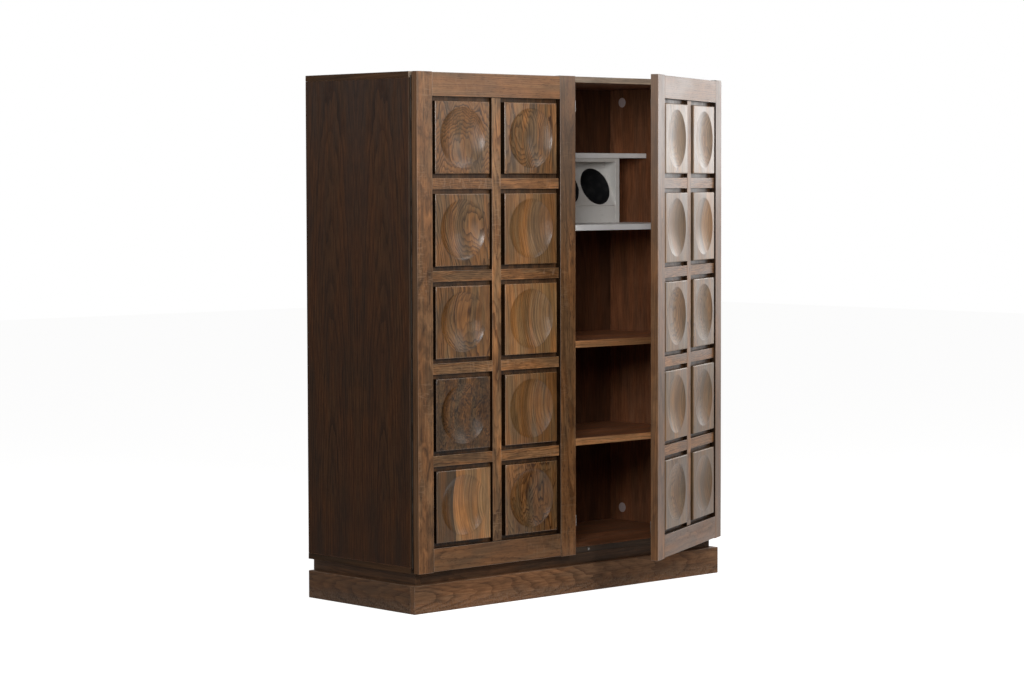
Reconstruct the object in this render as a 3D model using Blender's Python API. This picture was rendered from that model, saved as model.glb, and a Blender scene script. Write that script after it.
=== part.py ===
"""Bar cabinet with two carved doors and a white bottle rack inside. Metres, +Z up, front towards -Y.

The origin lies on the floor under the middle of the case. The left door is shut, the right one ajar.
"""

from math import cos, pi, radians, sin, tan

import bmesh
import bpy
from mathutils import Matrix

# Case
CABINET_WIDTH = 1.146
CABINET_HEIGHT = 1.400
CARCASS_DEPTH = 0.420
PANEL_THICKNESS = 0.016
BACK_THICKNESS = 0.008
BACK_INSET = 0.010

# Base: an inner frame that shows as a neck, with plinth boards round its foot
PLINTH_HEIGHT = 0.074
NECK_HEIGHT = 0.031
PLINTH_THICKNESS = 0.018
PLINTH_REACH = 0.015
BASE_RAIL_THICKNESS = 0.020

# Doors
DOOR_THICKNESS = 0.021
DOOR_REVEAL = 0.006
DOOR_EDGE_INSET = 0.0006
MEETING_GAP = 0.003
OUTER_STILE_WIDTH = 0.0525
MEETING_STILE_WIDTH = 0.057
STILE_HORN = 0.002
RAIL_HEIGHT = 0.061
MUNTIN_WIDTH = 0.031
MID_RAIL_HEIGHT = 0.0285
LATTICE_RECESS = 0.0055
MID_RAIL_STEP = 0.0005
BACKING_THICKNESS = 0.004
BACKING_LAP = 0.008
RIGHT_DOOR_AJAR = radians(25.7)

# Carved blocks of a door
TILE_ROWS = 5
TILE_COLUMNS = 2
GROOVE_WIDTH = 0.0115
TILE_RECESS = 0.001
TILE_SEAT = 0.001
DISH_MARGIN = 0.0155
DISH_DEPTH = 0.014
DISH_POWER = 1.8

# Piano hinges
HINGE_END_MARGIN = 0.010
HINGE_LEAF_WIDTH = 0.0095
HINGE_LEAF_THICKNESS = 0.0007
HINGE_KNUCKLE_RADIUS = 0.0017
HINGE_SEAM = radians(14.0)
HINGE_KNUCKLES = 21

# White bar unit
BAR_DROP = 0.1865
BAR_DEPTH = 0.147
UPPER_BOARD_THICKNESS = 0.014
LOWER_BOARD_THICKNESS = 0.016
LOWER_BOARD_SETBACK = 0.055
CHEEK_THICKNESS = 0.016
HEADER_HEIGHT = 0.0115
RACK_BOARD_THICKNESS = 0.012
FASCIA_HEIGHT = 0.0495
RACK_TILT = radians(21.0)
RACK_LOWER_EDGE = 0.003
RACK_UPPER_EDGE = 0.031

# Bottle sleeves
SLEEVE_DIAMETER = 0.110
SLEEVE_WALL = 0.003
SLEEVE_WEB = 0.0129
SLEEVE_COUNT = 7
SLEEVE_BACK_CLEARANCE = 0.015
SLEEVE_LIP = 0.0005

# Shelves
SHELF_THICKNESS = 0.020
SHELF_SETBACK = 0.055
LOWER_BAY_HEIGHT = 0.2706
MIDDLE_BAY_HEIGHT = 0.2489

# Cover caps on the inner walls
CAP_DIAMETER = 0.028
CAP_HEIGHT = 0.002
CAP_FROM_BACK = 0.048
CAP_FROM_ENDS = 0.0375

# Catches that hold the doors
CATCH_HEIGHT = 0.030
CATCH_DEPTH = 0.012
CATCH_SEAT = 0.020
CATCH_REACH = 0.0235
CATCH_AIR = 0.0006
CATCH_UPPER_DROP = 0.080
CATCH_LOWER_RISE = 0.0905
KEEPER_THICKNESS = 0.0012
KEEPER_WIDTH = 0.016
KEEPER_EDGE = 0.003
KEEPER_DISC_DIAMETER = 0.010
MAGNET_DIAMETER = 0.008
MAGNET_LENGTH = 0.012
MAGNET_FROM_CENTRE = 0.0695

# Fits between pieces that touch, and the number of sides of round pieces
FIT = 0.0003
ROUND_SIDES = 24
SMALL_ROUND_SIDES = 12
CURL_SIDES = 8
DISH_RINGS = 3
CUTTER_OVERRUN = 0.005
SHARP_ANGLE = radians(40.0)

# Sizes that follow from the hinges and the catches
DOOR_GAP = 2 * (HINGE_KNUCKLE_RADIUS + FIT)
HINGE_PIN_RADIUS = HINGE_KNUCKLE_RADIUS - HINGE_LEAF_THICKNESS - FIT
MAGNET_PROUD = DOOR_GAP - FIT - KEEPER_THICKNESS - CATCH_AIR

# Heights and planes that several pieces share
HALF_WIDTH = CABINET_WIDTH / 2
FRONT = -CARCASS_DEPTH / 2
BACK = CARCASS_DEPTH / 2
BODY_BOTTOM = PLINTH_HEIGHT + NECK_HEIGHT
FLOOR_TOP = BODY_BOTTOM + PANEL_THICKNESS
CEILING = CABINET_HEIGHT - PANEL_THICKNESS
INNER_HALF = HALF_WIDTH - PANEL_THICKNESS
INNER_BACK = BACK - BACK_INSET - BACK_THICKNESS
AXIS_X = HALF_WIDTH - DOOR_REVEAL
AXIS_Y = FRONT - DOOR_GAP / 2
LEAF_END = AXIS_X - MEETING_GAP / 2


def make_material(name, colour, roughness, metallic=0.0):
    """A Principled material of one colour."""
    made = bpy.data.materials.new(name)
    made.use_nodes = True
    shader = made.node_tree.nodes["Principled BSDF"]
    shader.inputs["Base Color"].default_value = (*colour, 1.0)
    shader.inputs["Roughness"].default_value = roughness
    shader.inputs["Metallic"].default_value = metallic
    return made


def add_object(name, mesh, material, parent, location=(0, 0, 0), rotation=(0, 0, 0)):
    """Puts a mesh into the scene under its parent."""
    made = bpy.data.objects.new(name, mesh)
    bpy.context.scene.collection.objects.link(made)
    made.parent = parent
    made.location = location
    made.rotation_euler = rotation
    if material:
        mesh.materials.append(material)
    return made


def add_empty(name, parent=None, location=(0, 0, 0), turn=0.0):
    """An empty that carries other objects, turned about Z."""
    made = bpy.data.objects.new(name, None)
    bpy.context.scene.collection.objects.link(made)
    made.parent = parent
    made.location = location
    made.rotation_euler = (0, 0, turn)
    return made


def finish_mesh(name, bm):
    """Turns a bmesh with outward faces into a mesh."""
    bmesh.ops.recalc_face_normals(bm, faces=bm.faces)
    mesh = bpy.data.meshes.new(name)
    bm.to_mesh(mesh)
    bm.free()
    return mesh


def add_box_faces(bm, low, high):
    """Adds a closed box between two corners, given in any order."""
    corners = [[min(a, b), max(a, b)] for a, b in zip(low, high)]
    size = [b - a for a, b in corners]
    middle = [(a + b) / 2 for a, b in corners]
    place = Matrix.Translation(middle) @ Matrix.Diagonal((*size, 1.0))
    bmesh.ops.create_cube(bm, size=1.0, matrix=place)


def add_box(name, low, high, material, parent):
    """A board between two corners, with its origin at its centre."""
    middle = [(a + b) / 2 for a, b in zip(low, high)]
    bm = bmesh.new()
    add_box_faces(bm, [a - m for a, m in zip(low, middle)], [b - m for b, m in zip(high, middle)])
    return add_object(name, finish_mesh(name, bm), material, parent, middle)


def add_prism_faces(bm, outline, low, high):
    """Adds an outline in the XY plane, extruded from one height to another."""
    bottom = [bm.verts.new((x, y, low)) for x, y in outline]
    top = [bm.verts.new((x, y, high)) for x, y in outline]
    bm.faces.new(bottom)
    bm.faces.new(top)
    for i, a in enumerate(bottom):
        j = (i + 1) % len(bottom)
        bm.faces.new((a, bottom[j], top[j], top[i]))


def add_prism(name, outline, low, high, material, parent):
    """A solid from an outline in the XY plane between two heights."""
    bm = bmesh.new()
    add_prism_faces(bm, outline, low, high)
    return add_object(name, finish_mesh(name, bm), material, parent)


def add_turned_faces(bm, profile, sides, place=None):
    """Adds a solid turned about Z from a profile of (radius, height) that starts and ends on the axis."""
    start = len(bm.verts)
    first = bm.verts.new((0, 0, profile[0][1]))
    rings = []
    for radius, height in profile[1:-1]:
        turns = [2 * pi * i / sides for i in range(sides)]
        rings.append([bm.verts.new((radius * cos(t), radius * sin(t), height)) for t in turns])
    last = bm.verts.new((0, 0, profile[-1][1]))
    for i in range(sides):
        j = (i + 1) % sides
        bm.faces.new((first, rings[0][i], rings[0][j]))
        bm.faces.new((last, rings[-1][j], rings[-1][i]))
        for lower, upper in zip(rings, rings[1:]):
            bm.faces.new((lower[i], upper[i], upper[j], lower[j]))
    if place:
        bm.verts.ensure_lookup_table()
        bmesh.ops.transform(bm, matrix=place, verts=bm.verts[start:])


def rod_profile(radius, low, high):
    """The profile of a plain rod."""
    return [(0, low), (radius, low), (radius, high), (0, high)]


def add_turned(name, profile, sides, material, parent, location=(0, 0, 0), rotation=(0, 0, 0)):
    """A turned solid, shaded smooth apart from its edges."""
    bm = bmesh.new()
    add_turned_faces(bm, profile, sides)
    mesh = finish_mesh(name, bm)
    mesh.shade_smooth()
    mesh.set_sharp_from_angle(angle=SHARP_ANGLE)
    return add_object(name, mesh, material, parent, location, rotation)


def add_helper(name, bm, parent, location=(0, 0, 0), rotation=(0, 0, 0)):
    """A hidden solid that a Boolean uses."""
    made = add_object(name, finish_mesh(name, bm), None, parent, location, rotation)
    made.hide_render = True
    made.display_type = "WIRE"
    return made


def use_boolean(target, helper, operation):
    """Cuts a helper from a target, or joins it to the target."""
    modifier = target.modifiers.new(operation.lower(), "BOOLEAN")
    modifier.operation = operation
    modifier.solver = "EXACT"
    modifier.object = helper


def build_carcass(cabinet, veneer, inside):
    """Sides that stand between a full width bottom and a full width top, and a back let in between them."""
    low, high = (-HALF_WIDTH, FRONT), (HALF_WIDTH, BACK)
    add_box("top_panel", (*low, CEILING), (*high, CABINET_HEIGHT), veneer, cabinet)
    floor = add_box("bottom_panel", (*low, BODY_BOTTOM), (*high, FLOOR_TOP), veneer, cabinet)
    for side, sign in (("left", -1), ("right", 1)):
        add_box(
            f"{side}_side_panel",
            (sign * HALF_WIDTH, FRONT, FLOOR_TOP + FIT),
            (sign * INNER_HALF, BACK, CEILING - FIT),
            veneer,
            cabinet,
        )
    add_box(
        "back_panel",
        (-INNER_HALF + FIT, INNER_BACK, FLOOR_TOP + FIT),
        (INNER_HALF - FIT, INNER_BACK + BACK_THICKNESS, CEILING - FIT),
        inside,
        cabinet,
    )
    return floor


def build_base(cabinet, oak):
    """The inner frame under the body, its cross rail, and the plinth boards round its foot."""
    plinth_front = FRONT - PLINTH_REACH
    frame_front = plinth_front + PLINTH_THICKNESS
    frame_half = HALF_WIDTH - PLINTH_THICKNESS
    rail = BASE_RAIL_THICKNESS
    top = BODY_BOTTOM - FIT
    for side, sign in (("left", -1), ("right", 1)):
        add_box(
            f"base_{side}_rail",
            (sign * frame_half, frame_front, 0),
            (sign * (frame_half - rail), BACK, top),
            oak,
            cabinet,
        )
        add_box(
            f"plinth_{side}_board",
            (sign * HALF_WIDTH, frame_front, 0),
            (sign * (frame_half + FIT), BACK, PLINTH_HEIGHT),
            oak,
            cabinet,
        )
    between = frame_half - rail - FIT
    add_box("base_front_rail", (-between, frame_front, 0), (between, frame_front + rail, top), oak, cabinet)
    add_box("base_back_rail", (-between, BACK - rail, 0), (between, BACK, top), oak, cabinet)
    add_box(
        "base_cross_rail",
        (-rail / 2, frame_front + rail + FIT, 0),
        (rail / 2, BACK - rail - FIT, top),
        oak,
        cabinet,
    )
    add_box(
        "plinth_front_board",
        (-HALF_WIDTH, plinth_front, 0),
        (HALF_WIDTH, frame_front - FIT, PLINTH_HEIGHT),
        oak,
        cabinet,
    )


def build_bar_unit(cabinet, laminate, black):
    """Two white boards with a rack between them: cheeks, header, fascia and a tilted panel of bottle holes."""
    upper_top = CEILING - BAR_DROP
    upper_bottom = upper_top - UPPER_BOARD_THICKNESS
    hole_radius = SLEEVE_DIAMETER / 2 + FIT
    panel_length = RACK_LOWER_EDGE + 2 * hole_radius + RACK_UPPER_EDGE
    rack_height = FASCIA_HEIGHT + panel_length * cos(RACK_TILT) + 2 * FIT
    lower_top = upper_bottom - rack_height - FIT
    lower_bottom = lower_top - LOWER_BOARD_THICKNESS
    board_end = INNER_HALF - FIT
    board_back = INNER_BACK - FIT
    rack_front = INNER_BACK - BAR_DEPTH
    add_box(
        "bar_upper_board",
        (-board_end, rack_front, upper_bottom),
        (board_end, board_back, upper_top),
        laminate,
        cabinet,
    )
    add_box(
        "bar_lower_board",
        (-board_end, FRONT + LOWER_BOARD_SETBACK, lower_bottom),
        (board_end, board_back, lower_top),
        laminate,
        cabinet,
    )
    rack_end = SLEEVE_COUNT * (SLEEVE_DIAMETER + SLEEVE_WEB) / 2
    cheek_inner = rack_end + FIT
    cheek_outer = cheek_inner + CHEEK_THICKNESS
    for side, sign in (("left", -1), ("right", 1)):
        add_box(
            f"rack_{side}_cheek",
            (sign * cheek_outer, rack_front, lower_top + FIT),
            (sign * cheek_inner, board_back, upper_bottom - FIT),
            laminate,
            cabinet,
        )
    add_box(
        "rack_header",
        (-rack_end, rack_front, upper_bottom - HEADER_HEIGHT),
        (rack_end, rack_front + RACK_BOARD_THICKNESS, upper_bottom - FIT),
        laminate,
        cabinet,
    )
    build_rack_fascia(cabinet, laminate, rack_end, rack_front, lower_top + FIT)
    crease = lower_top + FIT + FASCIA_HEIGHT
    build_rack_panel(cabinet, laminate, black, rack_end, rack_front, crease, lower_top)


def build_rack_fascia(cabinet, laminate, rack_end, front, foot):
    """The upright strip under the tilted panel, with its top cut square to that panel."""
    back = RACK_BOARD_THICKNESS
    outline = [
        (0, 0),
        (back, 0),
        (back, FASCIA_HEIGHT - back * tan(RACK_TILT)),
        (0, FASCIA_HEIGHT),
    ]
    bm = bmesh.new()
    add_prism_faces(bm, outline, -rack_end, rack_end)
    along_x = Matrix(((0, 0, 1), (1, 0, 0), (0, 1, 0))).to_4x4()
    bmesh.ops.transform(bm, matrix=along_x, verts=bm.verts)
    add_object("rack_fascia", finish_mesh("rack_fascia", bm), laminate, cabinet, (0, front, foot))


def build_rack_panel(cabinet, laminate, black, rack_end, front, crease, board_top):
    """The tilted panel and the black sleeves in its holes.

    Both are modelled in the panel's own frame: X along it, Y up its slope, Z out of its face, with the holes'
    centres on the X axis.
    """
    hole_radius = SLEEVE_DIAMETER / 2 + FIT
    half_slope = RACK_LOWER_EDGE + hole_radius
    rise = half_slope + FIT
    centre = (0, front + rise * sin(RACK_TILT), crease + rise * cos(RACK_TILT))
    turn = (pi / 2 - RACK_TILT, 0, 0)
    pitch = SLEEVE_DIAMETER + SLEEVE_WEB
    places = [(i - (SLEEVE_COUNT - 1) / 2) * pitch for i in range(SLEEVE_COUNT)]

    bm = bmesh.new()
    add_box_faces(
        bm,
        (-rack_end, -half_slope, -RACK_BOARD_THICKNESS),
        (rack_end, hole_radius + RACK_UPPER_EDGE, 0),
    )
    panel = add_object("rack_panel", finish_mesh("rack_panel", bm), laminate, cabinet, centre, turn)
    bm = bmesh.new()
    for x in places:
        drill = rod_profile(hole_radius, -RACK_BOARD_THICKNESS - CUTTER_OVERRUN, CUTTER_OVERRUN)
        add_turned_faces(bm, drill, ROUND_SIDES, Matrix.Translation((x, 0, 0)))
    use_boolean(panel, add_helper("rack_panel_drills", bm, cabinet, centre, turn), "DIFFERENCE")

    outer = SLEEVE_DIAMETER / 2
    room_behind = INNER_BACK - centre[1] - SLEEVE_BACK_CLEARANCE - outer * sin(RACK_TILT)
    room_below = centre[2] - board_top - FIT - outer * cos(RACK_TILT)
    length = min(room_behind / cos(RACK_TILT), room_below / sin(RACK_TILT))
    cup = [
        (0, -length),
        (outer, -length),
        (outer, SLEEVE_LIP),
        (outer - SLEEVE_WALL, SLEEVE_LIP),
        (outer - SLEEVE_WALL, SLEEVE_WALL - length),
        (0, SLEEVE_WALL - length),
    ]
    for number, x in enumerate(places, start=1):
        place = (x, centre[1], centre[2])
        add_turned(f"bottle_sleeve_{number}", cup, ROUND_SIDES, black, cabinet, place, turn)


def build_shelves(cabinet, wood):
    """Two full width shelves fixed between the sides."""
    bottom = FLOOR_TOP + LOWER_BAY_HEIGHT
    for name in ("lower_shelf", "upper_shelf"):
        add_box(
            name,
            (-INNER_HALF + FIT, FRONT + SHELF_SETBACK, bottom),
            (INNER_HALF - FIT, INNER_BACK - FIT, bottom + SHELF_THICKNESS),
            wood,
            cabinet,
        )
        bottom += SHELF_THICKNESS + MIDDLE_BAY_HEIGHT


def build_cover_caps(cabinet, plastic):
    """Round caps over the joint fittings, near the back of each side wall."""
    radius = CAP_DIAMETER / 2
    dome = [
        (0, CAP_HEIGHT),
        (0.7 * radius, 0.85 * CAP_HEIGHT),
        (radius, 0.35 * CAP_HEIGHT),
        (radius, 0),
        (0, 0),
    ]
    heights = (("upper", CEILING - CAP_FROM_ENDS), ("lower", FLOOR_TOP + CAP_FROM_ENDS))
    for side, sign in (("left", -1), ("right", 1)):
        for level, height in heights:
            add_turned(
                f"cover_cap_{side}_{level}",
                dome,
                SMALL_ROUND_SIDES,
                plastic,
                cabinet,
                (sign * (INNER_HALF - FIT), INNER_BACK - CAP_FROM_BACK, height),
                (0, -sign * pi / 2, 0),
            )


def build_edge_magnets(cabinet, floor, steel):
    """A round magnet for each door, let into the front edge of the bottom panel."""
    height = (BODY_BOTTOM + FLOOR_TOP) / 2
    facing_front = (pi / 2, 0, 0)
    bm = bmesh.new()
    for side, sign in (("left", -1), ("right", 1)):
        x = sign * MAGNET_FROM_CENTRE
        bore = rod_profile(MAGNET_DIAMETER / 2 + FIT, -MAGNET_LENGTH - FIT, CUTTER_OVERRUN)
        place = Matrix.Translation((x, FRONT, height)) @ Matrix.Rotation(pi / 2, 4, "X")
        add_turned_faces(bm, bore, SMALL_ROUND_SIDES, place)
        rod = rod_profile(MAGNET_DIAMETER / 2, -MAGNET_LENGTH, MAGNET_PROUD)
        place = (x, FRONT, height)
        add_turned(f"edge_magnet_{side}", rod, SMALL_ROUND_SIDES, steel, cabinet, place, facing_front)
    use_boolean(floor, add_helper("magnet_bores", bm, cabinet), "DIFFERENCE")


def knuckle_outline(inward, side):
    """The outline of a leaf's rolled knuckle, about the pin, running straight into the leaf's plate.

    inward is +1 or -1 along X, from the pin to the plate. side is +1 for a plate behind the pin and -1 for one
    in front of it.
    """
    outer = HINGE_KNUCKLE_RADIUS
    inner = outer - HINGE_LEAF_THICKNESS
    near, far = plate_faces()
    root = outer + 2 * FIT + HINGE_LEAF_THICKNESS
    seam = 2 * pi - HINGE_SEAM
    points = [(root, far)]
    for radius, start, end in ((outer, pi / 2, seam), (inner, seam, pi / 2)):
        for i in range(CURL_SIDES + 1):
            turn = start + (end - start) * i / CURL_SIDES
            points.append((radius * cos(turn), radius * sin(turn)))
    points.append((root, near))
    return [(inward * x, side * y) for x, y in points]


def plate_faces():
    """How far a hinge plate's two faces lie from the pin's plane."""
    far = DOOR_GAP / 2 - FIT
    return far - HINGE_LEAF_THICKNESS, far


def build_hinge(side, inward, axis_place, carcass, door, steel):
    """A piano hinge: a leaf on the carcass, a leaf on the door, each with every other knuckle, and the pin."""
    foot = BODY_BOTTOM + HINGE_END_MARGIN
    length = CABINET_HEIGHT - BODY_BOTTOM - 2 * HINGE_END_MARGIN
    pitch = length / HINGE_KNUCKLES
    near, far = plate_faces()
    plate_start = inward * (HINGE_KNUCKLE_RADIUS + 2 * FIT)
    plate_end = inward * HINGE_LEAF_WIDTH
    for owner, parent, behind, first in (("carcass", carcass, 1, 0), ("door", door, -1, 1)):
        name = f"{side}_hinge_{owner}_leaf"
        place = axis_place if owner == "carcass" else (0, 0, 0)
        bm = bmesh.new()
        add_box_faces(bm, (plate_start, behind * near, foot), (plate_end, behind * far, foot + length))
        leaf = add_object(name, finish_mesh(name, bm), steel, parent, place)
        bm = bmesh.new()
        outline = knuckle_outline(inward, behind)
        for k in range(first, HINGE_KNUCKLES, 2):
            add_prism_faces(bm, outline, foot + k * pitch + FIT, foot + (k + 1) * pitch - FIT)
        use_boolean(leaf, add_helper(f"{name}_knuckles", bm, parent, place), "UNION")
    rod = rod_profile(HINGE_PIN_RADIUS, foot, foot + length)
    add_turned(f"{side}_hinge_pin", rod, CURL_SIDES, steel, carcass, axis_place)


def dish_depth_at(distance, radius):
    """How deep the dish lies at a distance from its centre: a flat floor that steepens to the rim."""
    return DISH_DEPTH * (1 - (distance / radius) ** DISH_POWER)


def add_tile_faces(bm, centre_x, centre_z, width, height, front, back):
    """Adds a square block whose front face, towards -Y, has a round dish turned into it."""
    radius = min(width, height) / 2 - DISH_MARGIN
    quarter = ROUND_SIDES // 4
    turns = [2 * pi * i / ROUND_SIDES for i in range(ROUND_SIDES)]
    signs = ((1, 1), (-1, 1), (-1, -1), (1, -1))
    spread = [(centre_x + a * width / 2, centre_z + b * height / 2) for a, b in signs]
    corners = [bm.verts.new((x, front, z)) for x, z in spread]
    feet = [bm.verts.new((x, back, z)) for x, z in spread]
    rings = []
    for ring in range(DISH_RINGS):
        distance = radius * (1 - ring / DISH_RINGS)
        depth = dish_depth_at(distance, radius)
        rings.append(
            [
                bm.verts.new((centre_x + distance * cos(t), front + depth, centre_z + distance * sin(t)))
                for t in turns
            ]
        )
    middle = bm.verts.new((centre_x, front + DISH_DEPTH, centre_z))
    bm.faces.new(feet)
    for k in range(4):
        following = (k + 1) % 4
        bm.faces.new((corners[k], corners[following], feet[following], feet[k]))
        bm.faces.new((corners[k], corners[following], rings[0][(k + 1) * quarter % ROUND_SIDES]))
        for i in range(k * quarter, (k + 1) * quarter):
            bm.faces.new((corners[k], rings[0][i], rings[0][(i + 1) % ROUND_SIDES]))
    for i in range(ROUND_SIDES):
        j = (i + 1) % ROUND_SIDES
        bm.faces.new((middle, rings[-1][i], rings[-1][j]))
        for outer, inner in zip(rings, rings[1:]):
            bm.faces.new((outer[i], outer[j], inner[j], inner[i]))


def build_door(side, inward, axis, oak, carved):
    """One door, modelled shut about its hinge axis: stiles, rails, lattice and the panel of carved blocks."""
    name = f"{side}_door"
    back = -DOOR_GAP / 2
    front = back - DOOR_THICKNESS
    bed = back - BACKING_THICKNESS
    bottom, top = BODY_BOTTOM, CABINET_HEIGHT
    outer_end = DOOR_EDGE_INSET
    clear_start = outer_end + OUTER_STILE_WIDTH
    clear_end = LEAF_END - MEETING_STILE_WIDTH
    clear_bottom = bottom + STILE_HORN + RAIL_HEIGHT
    clear_top = top - STILE_HORN - RAIL_HEIGHT

    frame = [
        add_box(
            f"{name}_outer_stile",
            (inward * outer_end, front, bottom),
            (inward * clear_start, back, top),
            oak,
            axis,
        ),
        add_box(
            f"{name}_meeting_stile",
            (inward * clear_end, front, bottom),
            (inward * LEAF_END, back, top),
            oak,
            axis,
        ),
    ]
    rails = (("bottom", bottom + STILE_HORN, clear_bottom), ("top", clear_top, top - STILE_HORN))
    for which, low, high in rails:
        frame.append(
            add_box(
                f"{name}_{which}_rail",
                (inward * (clear_start + FIT), front, low),
                (inward * (clear_end - FIT), back, high),
                oak,
                axis,
            )
        )
    bm = bmesh.new()
    lap = BACKING_LAP
    add_box_faces(
        bm,
        (inward * (clear_start - lap), bed - FIT, clear_bottom - lap),
        (inward * (clear_end + lap), back + CUTTER_OVERRUN, clear_top + lap),
    )
    rebate = add_helper(f"{name}_rebate", bm, axis)
    for piece in frame:
        use_boolean(piece, rebate, "DIFFERENCE")

    column_pitch = (clear_end - clear_start + MUNTIN_WIDTH) / TILE_COLUMNS
    row_pitch = (clear_top - clear_bottom + MID_RAIL_HEIGHT) / TILE_ROWS
    columns = [clear_start + k * column_pitch for k in range(TILE_COLUMNS)]
    rows = [clear_bottom + k * row_pitch for k in range(TILE_ROWS)]
    face = front + LATTICE_RECESS
    step = MID_RAIL_STEP
    muntins = [
        ((inward * (u - MUNTIN_WIDTH), face, clear_bottom + FIT), (inward * u, bed - FIT, clear_top - FIT))
        for u in columns[1:]
    ]
    mid_rails = [
        (
            (inward * (clear_start + FIT), face + step, z - MID_RAIL_HEIGHT),
            (inward * (clear_end - FIT), bed - FIT - step, z),
        )
        for z in rows[1:]
    ]
    build_lattice(name, axis, oak, muntins, mid_rails)

    bm = bmesh.new()
    edge = lap - FIT
    add_box_faces(
        bm,
        (inward * (clear_start - edge), bed, clear_bottom - edge),
        (inward * (clear_end + edge), back, clear_top + edge),
    )
    panel = add_object(f"{name}_tile_panel", finish_mesh(f"{name}_tile_panel", bm), carved, axis)
    bm = bmesh.new()
    width = column_pitch - MUNTIN_WIDTH - 2 * GROOVE_WIDTH
    height = row_pitch - MID_RAIL_HEIGHT - 2 * GROOVE_WIDTH
    for u in columns:
        x = inward * (u + GROOVE_WIDTH + width / 2)
        for z in rows:
            middle = z + GROOVE_WIDTH + height / 2
            add_tile_faces(bm, x, middle, width, height, front + TILE_RECESS, bed + TILE_SEAT)
    use_boolean(panel, add_helper(f"{name}_tiles", bm, axis), "UNION")


def build_lattice(name, axis, oak, muntins, mid_rails):
    """The muntins between the columns of blocks, crossed by the mid rails between the rows."""
    bm = bmesh.new()
    for low, high in muntins:
        add_box_faces(bm, low, high)
    lattice = add_object(f"{name}_lattice", finish_mesh(f"{name}_lattice", bm), oak, axis)
    bm = bmesh.new()
    for low, high in mid_rails:
        add_box_faces(bm, low, high)
    use_boolean(lattice, add_helper(f"{name}_mid_rails", bm, axis), "UNION")


def build_catches(left_axis, right_axis, plastic, steel):
    """Catch blocks on the left door that reach behind the right one, and the keepers that they hold."""
    door_back = -DOOR_GAP / 2
    seat = door_back + FIT
    reach_face = seat + KEEPER_THICKNESS + CATCH_AIR
    plan = [
        (LEAF_END - CATCH_SEAT, seat),
        (LEAF_END, seat),
        (LEAF_END, reach_face),
        (LEAF_END + CATCH_REACH, reach_face),
        (LEAF_END + CATCH_REACH, seat + CATCH_DEPTH),
        (LEAF_END - CATCH_SEAT, seat + CATCH_DEPTH),
    ]
    middles = (
        ("upper", CABINET_HEIGHT - CATCH_UPPER_DROP),
        ("lower", BODY_BOTTOM + CATCH_LOWER_RISE),
    )
    for level, middle in middles:
        low, high = middle - CATCH_HEIGHT / 2, middle + CATCH_HEIGHT / 2
        add_prism(f"meeting_catch_{level}", plan, low, high, plastic, left_axis)
        keeper_start = LEAF_END - KEEPER_EDGE - KEEPER_WIDTH
        add_box(
            f"right_door_{level}_keeper",
            (-keeper_start, seat, low),
            (-keeper_start - KEEPER_WIDTH, seat + KEEPER_THICKNESS, high),
            steel,
            right_axis,
        )
    disc = rod_profile(KEEPER_DISC_DIAMETER / 2, -KEEPER_THICKNESS, 0)
    height = (BODY_BOTTOM + FLOOR_TOP) / 2
    across = AXIS_X - MAGNET_FROM_CENTRE
    for side, inward, axis in (("left", 1, left_axis), ("right", -1, right_axis)):
        place = (inward * across, seat, height)
        name = f"{side}_door_magnet_keeper"
        add_turned(name, disc, SMALL_ROUND_SIDES, steel, axis, place, (pi / 2, 0, 0))


def main():
    """Builds the whole cabinet."""
    for old in list(bpy.data.objects):
        bpy.data.objects.remove(old, do_unlink=True)
    oak = make_material("oak", (0.27, 0.17, 0.09), 0.45)
    carved = make_material("carved_oak", (0.29, 0.18, 0.095), 0.42)
    veneer = make_material("oak_veneer", (0.12, 0.075, 0.045), 0.4)
    dark_oak = make_material("plinth_oak", (0.11, 0.075, 0.05), 0.5)
    inside = make_material("inside_veneer", (0.17, 0.095, 0.055), 0.5)
    shelf_wood = make_material("shelf_veneer", (0.30, 0.18, 0.10), 0.5)
    laminate = make_material("white_laminate", (0.72, 0.71, 0.69), 0.35)
    black = make_material("black_sleeve", (0.012, 0.012, 0.013), 0.5)
    steel = make_material("hinge_steel", (0.55, 0.53, 0.50), 0.35, 1.0)
    plastic = make_material("pale_plastic", (0.62, 0.60, 0.57), 0.45)

    cabinet = add_empty("cabinet")
    floor = build_carcass(cabinet, veneer, inside)
    build_base(cabinet, dark_oak)
    build_bar_unit(cabinet, laminate, black)
    build_shelves(cabinet, shelf_wood)
    build_cover_caps(cabinet, plastic)
    build_edge_magnets(cabinet, floor, steel)

    axes = {}
    for side, inward, turn in (("left", 1, 0.0), ("right", -1, RIGHT_DOOR_AJAR)):
        axis_place = (-inward * AXIS_X, AXIS_Y, 0)
        axes[side] = add_empty(f"{side}_door_axis", cabinet, axis_place, turn)
        build_hinge(side, inward, axis_place, cabinet, axes[side], steel)
        build_door(side, inward, axes[side], oak, carved)
    build_catches(axes["left"], axes["right"], plastic, steel)


main()
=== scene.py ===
"""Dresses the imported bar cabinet: carved oak doors, veneered case, white bottle rack, then studio and camera.

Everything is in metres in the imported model's frame: +Z up, the front towards -Y, the origin on the floor.
"""

import logging
from dataclasses import dataclass, field, replace
from enum import Enum
from functools import lru_cache
from math import cos, pi, radians, sin
from typing import Iterable, Sequence, Union
from zlib import crc32

import bmesh
import bpy
import numpy as np
from mathutils import Matrix, Vector


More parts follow.
